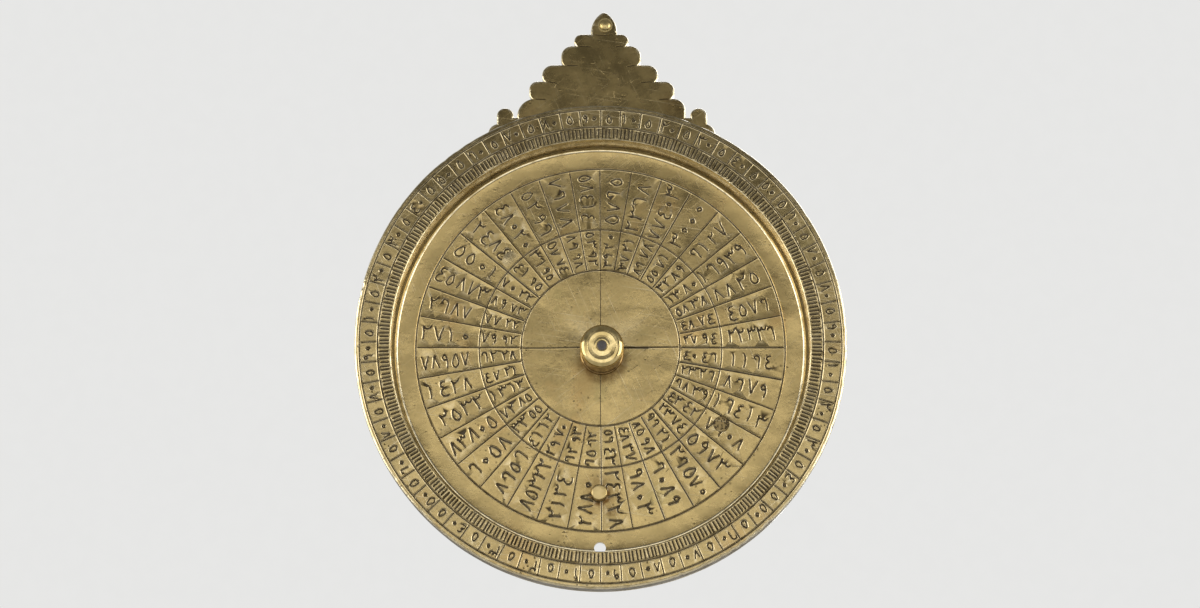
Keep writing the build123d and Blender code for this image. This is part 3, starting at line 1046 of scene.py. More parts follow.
        # Part polish, part painted sheen: a band by the bead is mixed towards the bare metal, for the light
        # that the cove catches.
        if self.burnished is not None:
            inner, outer = self.burnished
            rise, fall = self.burnished_fade
            away = p.away_from(0, 0)
            band = p.math("MULTIPLY", p.ramp(away, inner * MM, (inner + rise) * MM),
                          p.ramp(away, outer * MM, (outer - fall) * MM))
            patchy = p.ramp(p.noise(self.burnished_scale, 4.0, 0.6), 0.34, 0.62, 0.1, 0.8)
            band = p.math("MULTIPLY", band, patchy)
            colour = p.mix(band, colour, shaded(self.metal, self.burnished_shade))
        return colour

    def scratch_mask(self, p: Painter) -> Socket:
        """Draw fine straight scratches in three directions.

        Args:
            p: The material that receives them.

        Returns:
            A mask that is 1 in a scratch.
        """
        lines = []
        for angle in self.scratch_angles:
            place = p.scaled(self.scratch_stretch, (0.0, angle, 0.0))
            lines.append(p.ramp(p.noise(1.0, 2.0, 0.6, place), 0.63, 0.72))
        return p.math("MAXIMUM", p.math("MAXIMUM", lines[0], lines[1]), lines[2])


@dataclass(frozen=True)
class TurnedBrass:
    """Brass off the lathe, still bright, with fine rings about its axis.

    Scales are per metre, and the depths of the relief are in metres.
    """

    name: str
    x: float
    z: float
    metal: Colour = (0.80, 0.63, 0.30)
    shade: Colour = (0.52, 0.39, 0.16)
    speck: Colour = (0.14, 0.10, 0.045)
    dirt: Colour = (0.06, 0.042, 0.018)
    shade_scale: float = 260.0
    speck_scale: float = 1100.0
    polish_scale: float = 420.0
    ring_scale: float = 900.0
    ring_depth: float = 0.000004
    ripple_scale: float = 300.0
    ripple_depth: float = 0.00003
    roughness: float = 0.20

    def make(self) -> bpy.types.Material:
        """Build the material.

        Returns:
            The new material.
        """
        p = Painter(self.name)
        clouds = p.ramp(p.noise(self.shade_scale, 5.0, 0.6), 0.38, 0.68)
        colour = p.mix(clouds, self.metal, self.shade)
        specks = p.ramp(p.noise(self.speck_scale, 4.0, 0.7), 0.60, 0.72, 0.0, 0.4)
        colour = p.mix(specks, colour, self.speck)
        dirty = p.ramp(p.mask("groove"), 0.1, 0.9)
        colour = p.mix(dirty, colour, self.dirt)
        p.put(p.shader.inputs["Base Color"], colour)
        p.shader.inputs["Metallic"].default_value = 1.0
        polish = p.ramp(p.noise(self.polish_scale), 0.3, 0.7, self.roughness - 0.05,
                        self.roughness + 0.09)
        p.put(p.shader.inputs["Roughness"], p.math("ADD", polish, p.math("MULTIPLY", dirty, 0.3)))
        rings = p.tree.nodes.new("ShaderNodeTexNoise")
        rings.noise_dimensions = "1D"
        p.put(rings.inputs["W"], p.math("MULTIPLY", p.away_from(self.x, self.z), self.ring_scale))
        normal = p.bump(rings.outputs["Fac"], self.ring_depth, 0.8)
        normal = p.bump(p.noise(self.ripple_scale, 2.0), self.ripple_depth, 0.7, normal)
        p.put(p.shader.inputs["Normal"], normal)
        return p.material


@dataclass(frozen=True)
class DarkIron:
    """Old iron, filed and darkened.

    Scales are per metre, and the depth of the file's marks is in metres.
    """

    name: str
    metal: Colour = (0.060, 0.052, 0.044)
    rust: Colour = (0.080, 0.045, 0.024)
    worn: Colour = (0.46, 0.42, 0.36)
    rust_scale: float = 700.0
    polish_scale: float = 900.0
    file_scale: float = 1600.0
    file_depth: float = 0.00004
    roughness: float = 0.42

    def make(self) -> bpy.types.Material:
        """Build the material.

        Returns:
            The new material.
        """
        p = Painter(self.name)
        colour = p.mix(p.ramp(p.noise(self.rust_scale, 5.0, 0.65), 0.42, 0.7), self.metal, self.rust)
        colour = p.mix(p.mask("wear"), colour, self.worn)
        p.put(p.shader.inputs["Base Color"], colour)
        p.shader.inputs["Metallic"].default_value = 1.0
        p.put(p.shader.inputs["Roughness"],
              p.ramp(p.noise(self.polish_scale), 0.3, 0.7, self.roughness - 0.08, self.roughness + 0.12))
        p.put(p.shader.inputs["Normal"], p.bump(p.noise(self.file_scale, 4.0), self.file_depth, 0.8))
        return p.material


def dress(piece: bpy.types.Object, material: bpy.types.Material, body: Body, slot: Slot,
          *nodes: str) -> bpy.types.Object:
    """Give a new piece its finish and its place in the frame.

    Args:
        piece: The new piece.
        material: Its finish.
        body: The body that it rides on.
        slot: The record's slot for the piece's finish; not used.
        nodes: CAD nodes that it stands for.

    Returns:
        The same piece.
    """
    piece.data.materials.clear()
    piece.data.materials.append(material)
    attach(piece, body.value)
    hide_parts(*nodes)
    LOG.info("%s: %d vertices on %s, for %s",
             piece.name, len(piece.data.vertices), body.value, ", ".join(nodes))
    return piece


def measured(node: str) -> tuple[float, float, float]:
    """Read where a round node starts and ends along Y, and its radius.

    Args:
        node: The CAD node.

    Returns:
        Its front, its back and its radius, in millimetres.
    """
    low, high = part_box(node)
    return low.y / MM, high.y / MM, (high.x - low.x) / MM / 2


def soften_profile(profile: Sequence[Point], radius: float, closed: bool) -> np.ndarray:
    """Round the corners of a profile.

    Args:
        profile: Corners in radius and y.
        radius: How far from each corner the rounding starts, at most.
        closed: Whether the last corner joins the first.

    Returns:
        The rounded profile, as many rows as it needs.
    """
    corners = np.array(profile, float)
    size = len(corners)
    rounded = []
    for index, corner in enumerate(corners):
        if not closed and index in (0, size - 1):
            rounded.append(corner)
            continue
        before, after = corners[index - 1] - corner, corners[(index + 1) % size] - corner
        reach_before = min(radius, 0.4 * float(np.hypot(*before)))
        reach_after = min(radius, 0.4 * float(np.hypot(*after)))
        start = corner + before / np.hypot(*before) * reach_before
        end = corner + after / np.hypot(*after) * reach_after
        for t in (0.0, 0.33, 0.67, 1.0):
            rounded.append((1 - t) ** 2 * start + 2 * t * (1 - t) * corner + t ** 2 * end)
    return np.array(rounded)


def turned_rows(profile: np.ndarray, centre: Point, segments: int,
                wobble: Callable[[np.ndarray, float, float], np.ndarray] | None = None) -> list[np.ndarray]:
    """Turn a profile about a line along Y.

    Args:
        profile: Corners in radius and y.
        centre: Where the axis stands in x and z.
        segments: Points round each row.
        wobble: Change of radius at each angle, from the angles, the radius and y, if any.

    Returns:
        One ring of points for each corner of the profile.
    """
    angles = np.arange(segments) * FULL_TURN / segments
    rows = []
    for radius, y in profile:
        reach = np.full(segments, radius)
        if wobble is not None:
            reach = reach + wobble(angles, radius, y)
        rows.append(np.column_stack([
            centre[0] + reach * np.cos(angles), np.full(segments, y), centre[1] + reach * np.sin(angles)]))
    return rows


def softened_copy(node: str, name: str, width: float) -> bpy.types.Object:
    """Copy a CAD node's shape and break its sharp edges.

    Args:
        node: The CAD node.
        name: Name of the copy.
        width: Width of the broken edges.

    Returns:
        The new object.
    """
    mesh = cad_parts[node].data.copy()
    mesh.name = name
    mesh.materials.clear()
    work = bmesh.new()
    work.from_mesh(mesh)
    bmesh.ops.remove_doubles(work, verts=work.verts, dist=WELD)
    bmesh.ops.dissolve_limit(work, angle_limit=math.radians(1.0), verts=work.verts, edges=work.edges)
    edges = [edge for edge in work.edges
             if len(edge.link_faces) == 2 and edge.calc_face_angle() > math.radians(BROKEN_FROM)]
    bmesh.ops.bevel(work, geom=edges, offset=width * MM, segments=2, profile=0.6, affect="EDGES",
                    clamp_overlap=True)
    work.to_mesh(mesh)
    work.free()
    mesh.attributes.new("groove", "FLOAT", "POINT")
    layer = mesh.attributes.new("wear", "FLOAT", "POINT")
    layer.data.foreach_set("value", np.full(len(mesh.vertices), HANDLED, np.float32))
    return finish_mesh(mesh, name, 35.0)


@dataclass
class Scales:
    """Radii of the engraved rings, and the graver's sizes."""

    hub: float = 4.6
    inner: float = 24.4
    middle: float = 37.3
    outer: float = 56.8
    sectors: int = 36
    circle_width: float = 0.50
    outer_width: float = 0.54
    line_width: float = 0.56
    line_depth: float = 0.20
    figure_width: float = 0.66
    figure_depth: float = 0.26
    cell_inner: float = 67.8
    cell_outer: float = 73.4
    figure_height: float = 4.5
    pairs: tuple[Point, ...] = ((34.0, 3.3), (28.0, 2.8))
    pair_weight: float = 0.86
    tick_start: float = 64.15
    tick_end: float = 67.5
    tick_width: float = 0.68
    tick_depth: float = 0.34
    cells: int = 72
    cell_width: float = 0.48
    cell_depth: float = 0.20
    limb_figure_height: float = 3.0
    limb_figure_width: float = 0.54
    limb_figure_depth: float = 0.24


@dataclass(frozen=True)
class BackScales:
    """Radii, widths and depths of what is engraved on the back."""

    rim: float = 73.4
    fives: float = 69.4
    degrees: float = 64.6
    inner: float = 61.6
    quadrant: float = 58.0
    hub: float = 11.0
    hub_clear: float = 13.0
    shadow: float = 34.0
    shadow_band: float = 5.0
    parts: int = 12
    hours: int = 5
    bold: float = 0.30
    fine: float = 0.26
    faint: float = 0.24
    depth: float = 0.10
    fine_depth: float = 0.09
    faint_depth: float = 0.08
    figure_height: float = 2.3
    figure_width: float = 0.32
    figure_depth: float = 0.12


@dataclass
class MaterPlate:
    """The round plate with its throne: engraved floor in front, scales at the back."""

    scales: Scales
    back_scales: BackScales = BackScales()
    bead_inner: float = 62.2
    bead_outer: float = 63.3
    bead_height: float = 0.38
    cove: tuple[Point, ...] = ((57.8, 0.0), (59.3, 0.03), (60.6, 0.09), (61.6, 0.17))
    cove_rise: float = 0.24
    gutter_edges: tuple[float, ...] = (63.5, 63.9, 64.6)
    edge_round: float = 0.42
    rim_spacing: float = 0.55
    worn_margin: float = 0.40
    gutter_middle: float = 63.6
    gutter_reach: float = 0.45
    hole_points: int = 40
    floor_scratches: int = 26
    throne_scratches: int = 16
    # Dark patches by centre, radii and strength: a reddish patch about the peg and a dark ring of dirt
    # close round it; a painted shadow to the peg's lower right; a painted shadow of the knob, centred below
    # the pin; small spots on the floor and the throne.
    stains: tuple[Stain, ...] = (
        Stain(-0.37, -45.3, 3.0, 8.5, 0.55), Stain(-0.2, -45.6, 2.6, 3.7, 1.3),
        Stain(3.4, -50.8, 0.4, 2.6, 0.7), Stain(0.6, -3.4, 6.6, 9.0, 0.6),
        Stain(54.1, 22.4, 0.5, 1.3, 1.2), Stain(2.6, -58.2, 0.2, 1.0, 1.0),
        Stain(-39.0, 43.0, 0.3, 1.6, 0.7), Stain(23.0, 78.0, 1.5, 6.0, 0.4))
    front: float = 0.0
    back: float = 0.0
    seed: int = 11

    def build(self) -> bpy.types.Object:
        """Build and dress the plate.

        Returns:
            The new piece.
        """
        _, self.back, _ = measured("mater_plate")
        outline = resample(flat_loops("mater_plate", self.back)[0], self.rim_spacing)
        holes = self.holes()
        shell = Shell()
        rng = random.Random(self.seed)
        face = inset(outline, self.edge_round)
        margin = [inset(outline, self.edge_round + self.worn_margin)]
        near_rims = [circle(radii[0], self.hole_points, centre) for centre, radii in holes]
        front = Engraving(face, near_rims, rng, guides=margin)
        self.engrave_floor(front)
        self.engrave_throne(front, outline)
        front.spread(shell, Side.FRONT, self.front, self.gutter_dirt)
        far_rims = [circle(radii[-1], self.hole_points, centre) for centre, radii in holes]
        back = Engraving(face, far_rims, rng, guides=margin)
        self.engrave_back(back)
        back.spread(shell, Side.BACK, self.back)
        self.add_rim(shell, outline, face)
        for centre, radii in holes:
            self.add_hole(shell, centre, radii)
        piece = shell.make("engraved_mater")
        # Painted shade towards the throne at the top; the dark patches include painted shadows; the band by
        # the bead is part polish, part painted sheen.
        finish = AgedBrass("mater_brass", metal=(0.475, 0.355, 0.150), clouded=(0.375, 0.275, 0.112),
                           dark_above=69.0, stains=self.stains, burnished=(57.0, 62.4))
        return dress(piece, finish.make(), Body.MATER, Slot.MATER, "mater_plate")

    def gutter_dirt(self, points: np.ndarray) -> np.ndarray:
        """Return the dirt that lies between the bead and the limb's wall."""
        away = np.abs(np.hypot(points[:, 0], points[:, 1]) - self.gutter_middle)
        return np.clip(0.62 - away / self.gutter_reach, 0, 1)

    def holes(self) -> list[tuple[Point, list[float]]]:
        """Read the plate's holes from the frame.

        Returns:
            For each hole its centre, and its radius in front and at the back.
        """
        found = []
        fore = flat_loops("mater_plate", self.front)[1:]
        for loop in flat_loops("mater_plate", self.back)[1:]:
            centre = (loop.max(axis=0) + loop.min(axis=0)) / 2
            wide = float(np.ptp(loop[:, 0])) / 2
            match = [other for other in fore
                     if np.hypot(*((other.max(axis=0) + other.min(axis=0)) / 2 - centre)) < 0.5
                     and np.ptp(other[:, 0]) / 2 < self.bead_inner / 2]
            near = float(np.ptp(match[0][:, 0])) / 2 if match else wide
            found.append(((float(centre[0]), float(centre[1])), [near, wide]))
        return found

    def engrave_floor(self, face: Engraving) -> None:
        """Cut the rings, sectors and figures of the floor, and raise its bead.

        Args:
            face: The front face of the plate.
        """
        s = self.scales
        middle, half = (self.bead_inner + self.bead_outer) / 2, (self.bead_outer - self.bead_inner) / 2
        bead = [(middle - half * math.cos(turn),
                 self.cove_rise * (turn < 3) + self.bead_height * math.sin(turn))
                for turn in np.radians([0, 15, 33, 52, 70, 90, 110, 128, 147, 165, 180])]
        face.levels = [*self.cove, *bead, *[(radius, 0.0) for radius in self.gutter_edges]]
        for radius, width in ((s.inner, s.circle_width), (s.middle, s.circle_width),
                              (s.outer, s.outer_width)):
            face.full_circle(radius, width, s.line_depth)
        step = 360 / s.sectors
        for sector in range(s.sectors):
            angle = sector * step + face.rng.uniform(-0.35, 0.35)
            width = s.line_width * face.rng.uniform(0.75, 1.15)
            face.line(polar(s.inner + 0.2, angle), polar(s.outer - 0.2, angle), width, s.line_depth,
                      0.05, 0.5)
            self.sector_figures(face, sector, (sector + 0.5) * step)
        # The cross about the pin: each arm's angle, how far it strays, its width, depth and burr
        for angle, stray, width, depth, lip in ((0, 0.4, 0.40, 0.18, 0.35), (90, 0.0, 0.32, 0.14, 0.15),
                                                (180, 0.4, 0.40, 0.18, 0.35), (270, 0.0, 0.32, 0.14, 0.15)):
            face.line(polar(s.hub, angle), polar(s.inner - 0.2, angle + stray), width, depth, 0.03, lip)
        face.line((5.6, 0.0), (15.0, -0.04), 0.60, 0.26, 0.02, 1.0)
        for _ in range(self.floor_scratches):
            spot = polar(face.rng.uniform(8, 60), face.rng.uniform(0, 360))
            face.scratch(spot, (0.5, 3.0), 0.16, 0.05, 0.4)

    def sector_figures(self, face: Engraving, sector: int, angle: float) -> None:
        """Cut one sector's figures: a long number outside and two short ones inside.

        Args:
            face: The floor.
            sector: Which sector it is.
            angle: Middle of the sector, in degrees.
        """
        s = self.scales
        reading = Reading.OUTWARD if math.cos(math.radians(angle)) > 0 else Reading.INWARD
        along = polar(1.0, angle) * reading.value
        number = str(face.rng.randint(1000, 9999) if sector % 3 else face.rng.randint(10000, 99999))
        middle = (s.middle + s.outer) / 2 + face.rng.uniform(-0.8, 0.8)
        squeeze = face.rng.uniform(0.88, 1.08) * (1.0 if len(number) == 4 else 0.86)
        face.figures(number, polar(middle, angle), along, s.figure_height, s.figure_width, s.figure_depth,
                     squeeze)
        for radius, height in s.pairs:
            pair = str(face.rng.randint(10, 99))
            face.figures(pair, polar(radius, angle), along, height, s.figure_width * s.pair_weight,
                         s.figure_depth, 0.95)

    def engrave_throne(self, face: Engraving, outline: np.ndarray) -> None:
        """Cut the faint line that runs in from each notch of the throne, and a few old scratches.

        Args:
            face: The front face of the plate.
            outline: The plate's edge.
        """
        for notch in corner_notches(outline, 77.0):
            towards = -math.copysign(1.0, notch[0])
            start = notch + np.array([towards * 0.9, -0.1])
            end = start + np.array([towards * face.rng.uniform(2.5, 4.5), -face.rng.uniform(0.1, 0.5)])
            face.line(start, end, 0.46, 0.11, 0.06, 0.0)
        for _ in range(self.throne_scratches):
            spot = np.array([face.rng.uniform(-16, 16), face.rng.uniform(78, 92)])
            face.scratch(spot, (0.6, 2.6), 0.15, 0.04, 0.3)

    def engrave_back(self, face: Engraving) -> None:
        """Cut the back's rim scale, sine lines, shadow squares and hour arcs.

        Args:
            face: The back face of the plate.
        """
        b = self.back_scales
        for radius, width in ((b.rim, b.bold), (b.fives, b.fine), (b.degrees, b.bold), (b.inner, b.fine)):
            face.full_circle(radius, width, b.depth)
        for degree in range(360):
            start, end = (b.inner + 0.3, b.degrees - 0.3) if degree % 5 else (b.inner + 0.2, b.fives - 0.2)
            face.line(polar(start, degree), polar(end, degree), b.fine, b.fine_depth)
        middle = (b.degrees + b.fives) / 2
        for step in range(36):
            angle = step * 10 + 5
            number = str((step % 9 + 1) * 10)
            face.figures(number, polar(middle, angle), polar(1.0, angle - 90), b.figure_height,
                         b.figure_width, b.figure_depth, 0.9)
        self.engrave_quadrants(face)

    def engrave_quadrants(self, face: Engraving) -> None:
        """Cut what fills the back's four quarters, inside the rim scale.

        Args:
            face: The back face of the plate.
        """
        b = self.back_scales
        radius = b.quadrant
        face.full_circle(radius, b.bold, b.depth)
        for angle in (0, 90, 180, 270):
            face.line(polar(b.hub, angle), polar(radius, angle), b.figure_width, b.figure_depth)
        for step in range(1, b.parts):
            height = radius * step / b.parts
            reach = math.sqrt(radius ** 2 - height ** 2)
            if reach > b.hub_clear:
                first = b.hub_clear if height < b.hub_clear else 1.0
                face.line((-first, height), (-reach + 0.4, height), b.faint, b.faint_depth)
        for hour in range(1, b.hours + 1):
            ring = radius * (0.28 + 0.14 * hour)
            if ring < radius - 1:
                face.stroke([polar(ring, angle) for angle in np.linspace(4, 86, 18)], b.fine, b.faint_depth)
        square, inner = b.shadow, b.shadow - b.shadow_band
        for side in (-1, 1):
            for size, width, depth in ((square, b.bold, b.depth), (inner, b.fine, b.fine_depth)):
                face.line((side * 1.0, -size), (side * size, -size), width, depth)
                face.line((side * size, -size), (side * size, -1.0), width, depth)
            for part in range(1, b.parts):
                place = square * part / b.parts
                if place < inner:
                    face.line((side * place, -square + 0.4), (side * place, -inner - 0.4), b.faint,
                              b.faint_depth)
                    face.line((side * (square - 0.4), -place), (side * (inner + 0.4), -place), b.faint,
                              b.faint_depth)

    def add_rim(self, shell: Shell, outline: np.ndarray, face: np.ndarray) -> None:
        """Join the two faces by the plate's edge, rounded and a little uneven.

        Args:
            shell: The plate.
            outline: The edge at its widest.
            face: The border of both flat faces.
        """
        half = inset(outline, self.edge_round * 0.30)
        r = self.edge_round
        rows = [at_depth(face, self.front), at_depth(half, self.front + r * 0.30),
                at_depth(outline, self.front + r), at_depth(outline, self.back - r),
                at_depth(half, self.back - r * 0.30), at_depth(face, self.back)]
        shell.strips(rows, wear=(0.7, 1.0, 0.9, 0.7, 0.8, 0.5))

    def add_hole(self, shell: Shell, centre: Point, radii: Sequence[float]) -> None:
        """Line one hole between the two faces.

        Args:
            shell: The plate.
            centre: Middle of the hole.
            radii: Its radius in front and at the back.
        """
        near, wide = radii
        profile = [(near, self.front), (min(near, wide), self.front + abs(near - wide)), (wide, self.back)]
        if near < wide:
            profile = [(near, self.front), (near, self.back - (wide - near)), (wide, self.back)]
        rows = turned_rows(np.array(profile), centre, self.hole_points)
        shell.strips(rows, wear=(0.9 if near > wide else 0.2, 0.3, 0.1))


@dataclass(frozen=True)
class Nicks:
    """A group of dents in the rim: how many, where, and the ranges of their sizes."""

    count: int
    angles: Point
    halves: Point
    depths: Point
    reaches: Point


@dataclass
class Limb:
    """The ring that walls the womb, with its degree scale and its nicked rim."""

    scales: Scales
    radius: float = 75.0
    womb: float = 63.8
    outer_round: float = 0.6
    inner_round: float = 0.30
    segments: int = 720
    nick_groups: tuple[Nicks, ...] = (
        Nicks(46, (0, 360), (0.35, 1.3), (0.05, 0.22), (0.4, 2.5)),
        Nicks(14, (-72, -42), (0.5, 1.6), (0.15, 0.5), (1.0, 5.0)))
    waves: tuple[tuple[float, int, float], ...] = ((0.05, 3, 0.7), (0.03, 11, 0.0), (0.02, 29, 2.0))
    filed_off: float = 0.10
    face: float = 0.0
    nicks: list[tuple[float, float, float, float]] = field(default_factory=list)
    seed: int = 5

    def build(self) -> bpy.types.Object:
        """Build and dress the limb.

        Returns:
            The new piece.
        """
        self.face, _, _ = measured("limb_ring")
        rng = random.Random(self.seed)
        self.nicks = self.nick_list(rng)
        angles = np.arange(self.segments) * FULL_TURN / self.segments
        rim = self.radius - self.outer_round + self.dents(angles, 0.0)
        border = np.column_stack([rim * np.cos(angles), rim * np.sin(angles)])
        hollow = circle(self.womb + self.inner_round, self.segments)
        top = Engraving(border, [hollow], rng, tip=0.30)
        self.engrave(top)
        shell = Shell()
        top.spread(shell, Side.FRONT, self.face)
        self.add_walls(shell)
        piece = shell.make("engraved_limb")
        # Painted shade: the limb is darker towards its top.
        finish = AgedBrass("limb_brass", metal=(0.44, 0.335, 0.150), clouded=(0.34, 0.25, 0.105),
                           dark_above=46.0, dark_share=0.40, pits=0.8)
        return dress(piece, finish.make(), Body.MATER, Slot.LIMB, "limb_ring")

    def nick_list(self, rng: random.Random) -> list[tuple[float, float, float, float]]:
        """Place the rim's dents: most anywhere, the worst at lower right.

        Args:
            rng: Source of chance.

        Returns:
            Angle, half-width, depth in the plane and reach down the wall of each dent.
        """
        return [(rng.uniform(*group.angles), rng.uniform(*group.halves), rng.uniform(*group.depths),
                 rng.uniform(*group.reaches))
                for group in self.nick_groups for _ in range(group.count)]

    def dents(self, angles: np.ndarray, below: float) -> np.ndarray:
        """Return how far the rim is pushed in at some angles, a distance below the face.

        Args:
            angles: Angles round the limb, in radians.
            below: Distance below the face.

        Returns:
            The change of radius at each angle.
        """
        degrees = np.degrees(angles)
        push = np.zeros(len(angles))
        for middle, half, depth, reach in self.nicks:
            away = np.abs((degrees - middle + 180) % 360 - 180) / half
            push = np.maximum(push, depth * np.clip(1 - away, 0, 1) * max(0.0, 1 - below / reach))
        wave = sum(size * np.sin(count * angles + phase) for size, count, phase in self.waves)
        return -push - self.filed_off + wave

    def engrave(self, face: Engraving) -> None:
        """Cut the degree strokes, the cells and their figures.

        Args:
            face: The limb's face.
        """
        s = self.scales
        face.full_circle(s.cell_inner, 0.56, 0.24)
        face.full_circle(s.cell_outer, 0.46, s.cell_depth)
        for degree in range(360):
            angle = degree + 0.5 + face.rng.uniform(-0.10, 0.10)
            start = s.tick_start + face.rng.uniform(0.0, 0.18)
            end = s.tick_end - face.rng.uniform(0.0, 0.25)
            slant = face.rng.uniform(-0.10, 0.10)
            width = s.tick_width * face.rng.uniform(0.85, 1.12)
            face.stroke([polar(start, angle), polar((start + end) / 2, angle + slant / 2),
                         polar(end, angle + slant)], width, s.tick_depth, 0.7)
        step = 360 / s.cells
        for cell in range(s.cells):
            edge = cell * step
            face.line(polar(s.cell_inner + 0.3, edge + face.rng.uniform(-0.15, 0.15)),
                      polar(s.cell_outer - 0.2, edge + face.rng.uniform(-0.15, 0.15)), s.cell_width,
                      s.cell_depth, 0.03)
            clockwise = (90 - edge - step / 2) % 360
            tens = int(round((clockwise + step / 2) / 10)) or 36
            number = "5" if cell % 2 else str(((tens - 1) % 9 + 1) * 10)
            middle = polar((s.cell_inner + s.cell_outer) / 2, edge + step / 2)
            along = polar(1.0, edge + step / 2 - 90)
            face.figures(number, middle, along, s.limb_figure_height, s.limb_figure_width,
                         s.limb_figure_depth)

    def add_walls(self, shell: Shell) -> None:
        """Join the face to the womb's wall, the rim and the foot.

        Args:
            shell: The limb.
        """
        angles = np.arange(self.segments) * FULL_TURN / self.segments
        direction = np.column_stack([np.cos(angles), np.sin(angles)])
        r = self.outer_round
        # Rows from the face to the foot: how far inside the rim and below the face, how worn and how dirty
        rim = ((r, 0.0, 0.2, 0.0), (r * 0.30, r * 0.30, 1.0, 0.0), (0.0, r, 0.3, 0.1),
               (0.0, r + 0.7, 0.0, 0.34), (0.0, r + 3.5, 0.0, 0.36),
               (0.0, -self.face - 0.35, 0.0, 0.3), (0.35, -self.face, 0.0, 0.8))
        rows, wear, groove = [], [], []
        for back, below, bright, dirt in rim:
            reach = self.radius - back + self.dents(angles, below)
            rows.append(at_depth(direction * reach[:, None], self.face + below))
            wear.append(bright)
            groove.append(dirt)
        shell.strips(rows, wear=wear, groove=groove)
        q = self.inner_round
        inner = [(self.womb + q, self.face), (self.womb + q * 0.3, self.face + q * 0.3),
                 (self.womb, self.face + q), (self.womb, -1.6), (self.womb, -0.45), (self.womb + 0.45, 0.0)]
        shell.strips(turned_rows(np.array(inner), (0, 0), self.segments),
                     wear=(0.4, 0.9, 0.7, 0.25, 0.0, 0.0), groove=(0, 0, 0, 0.0, 0.15, 0.9))
        foot = [turned_rows(np.array([(self.womb + 0.45, 0.0)]), (0, 0), self.segments)[0], rows[-1]]
        shell.strips(foot, groove=0.8)


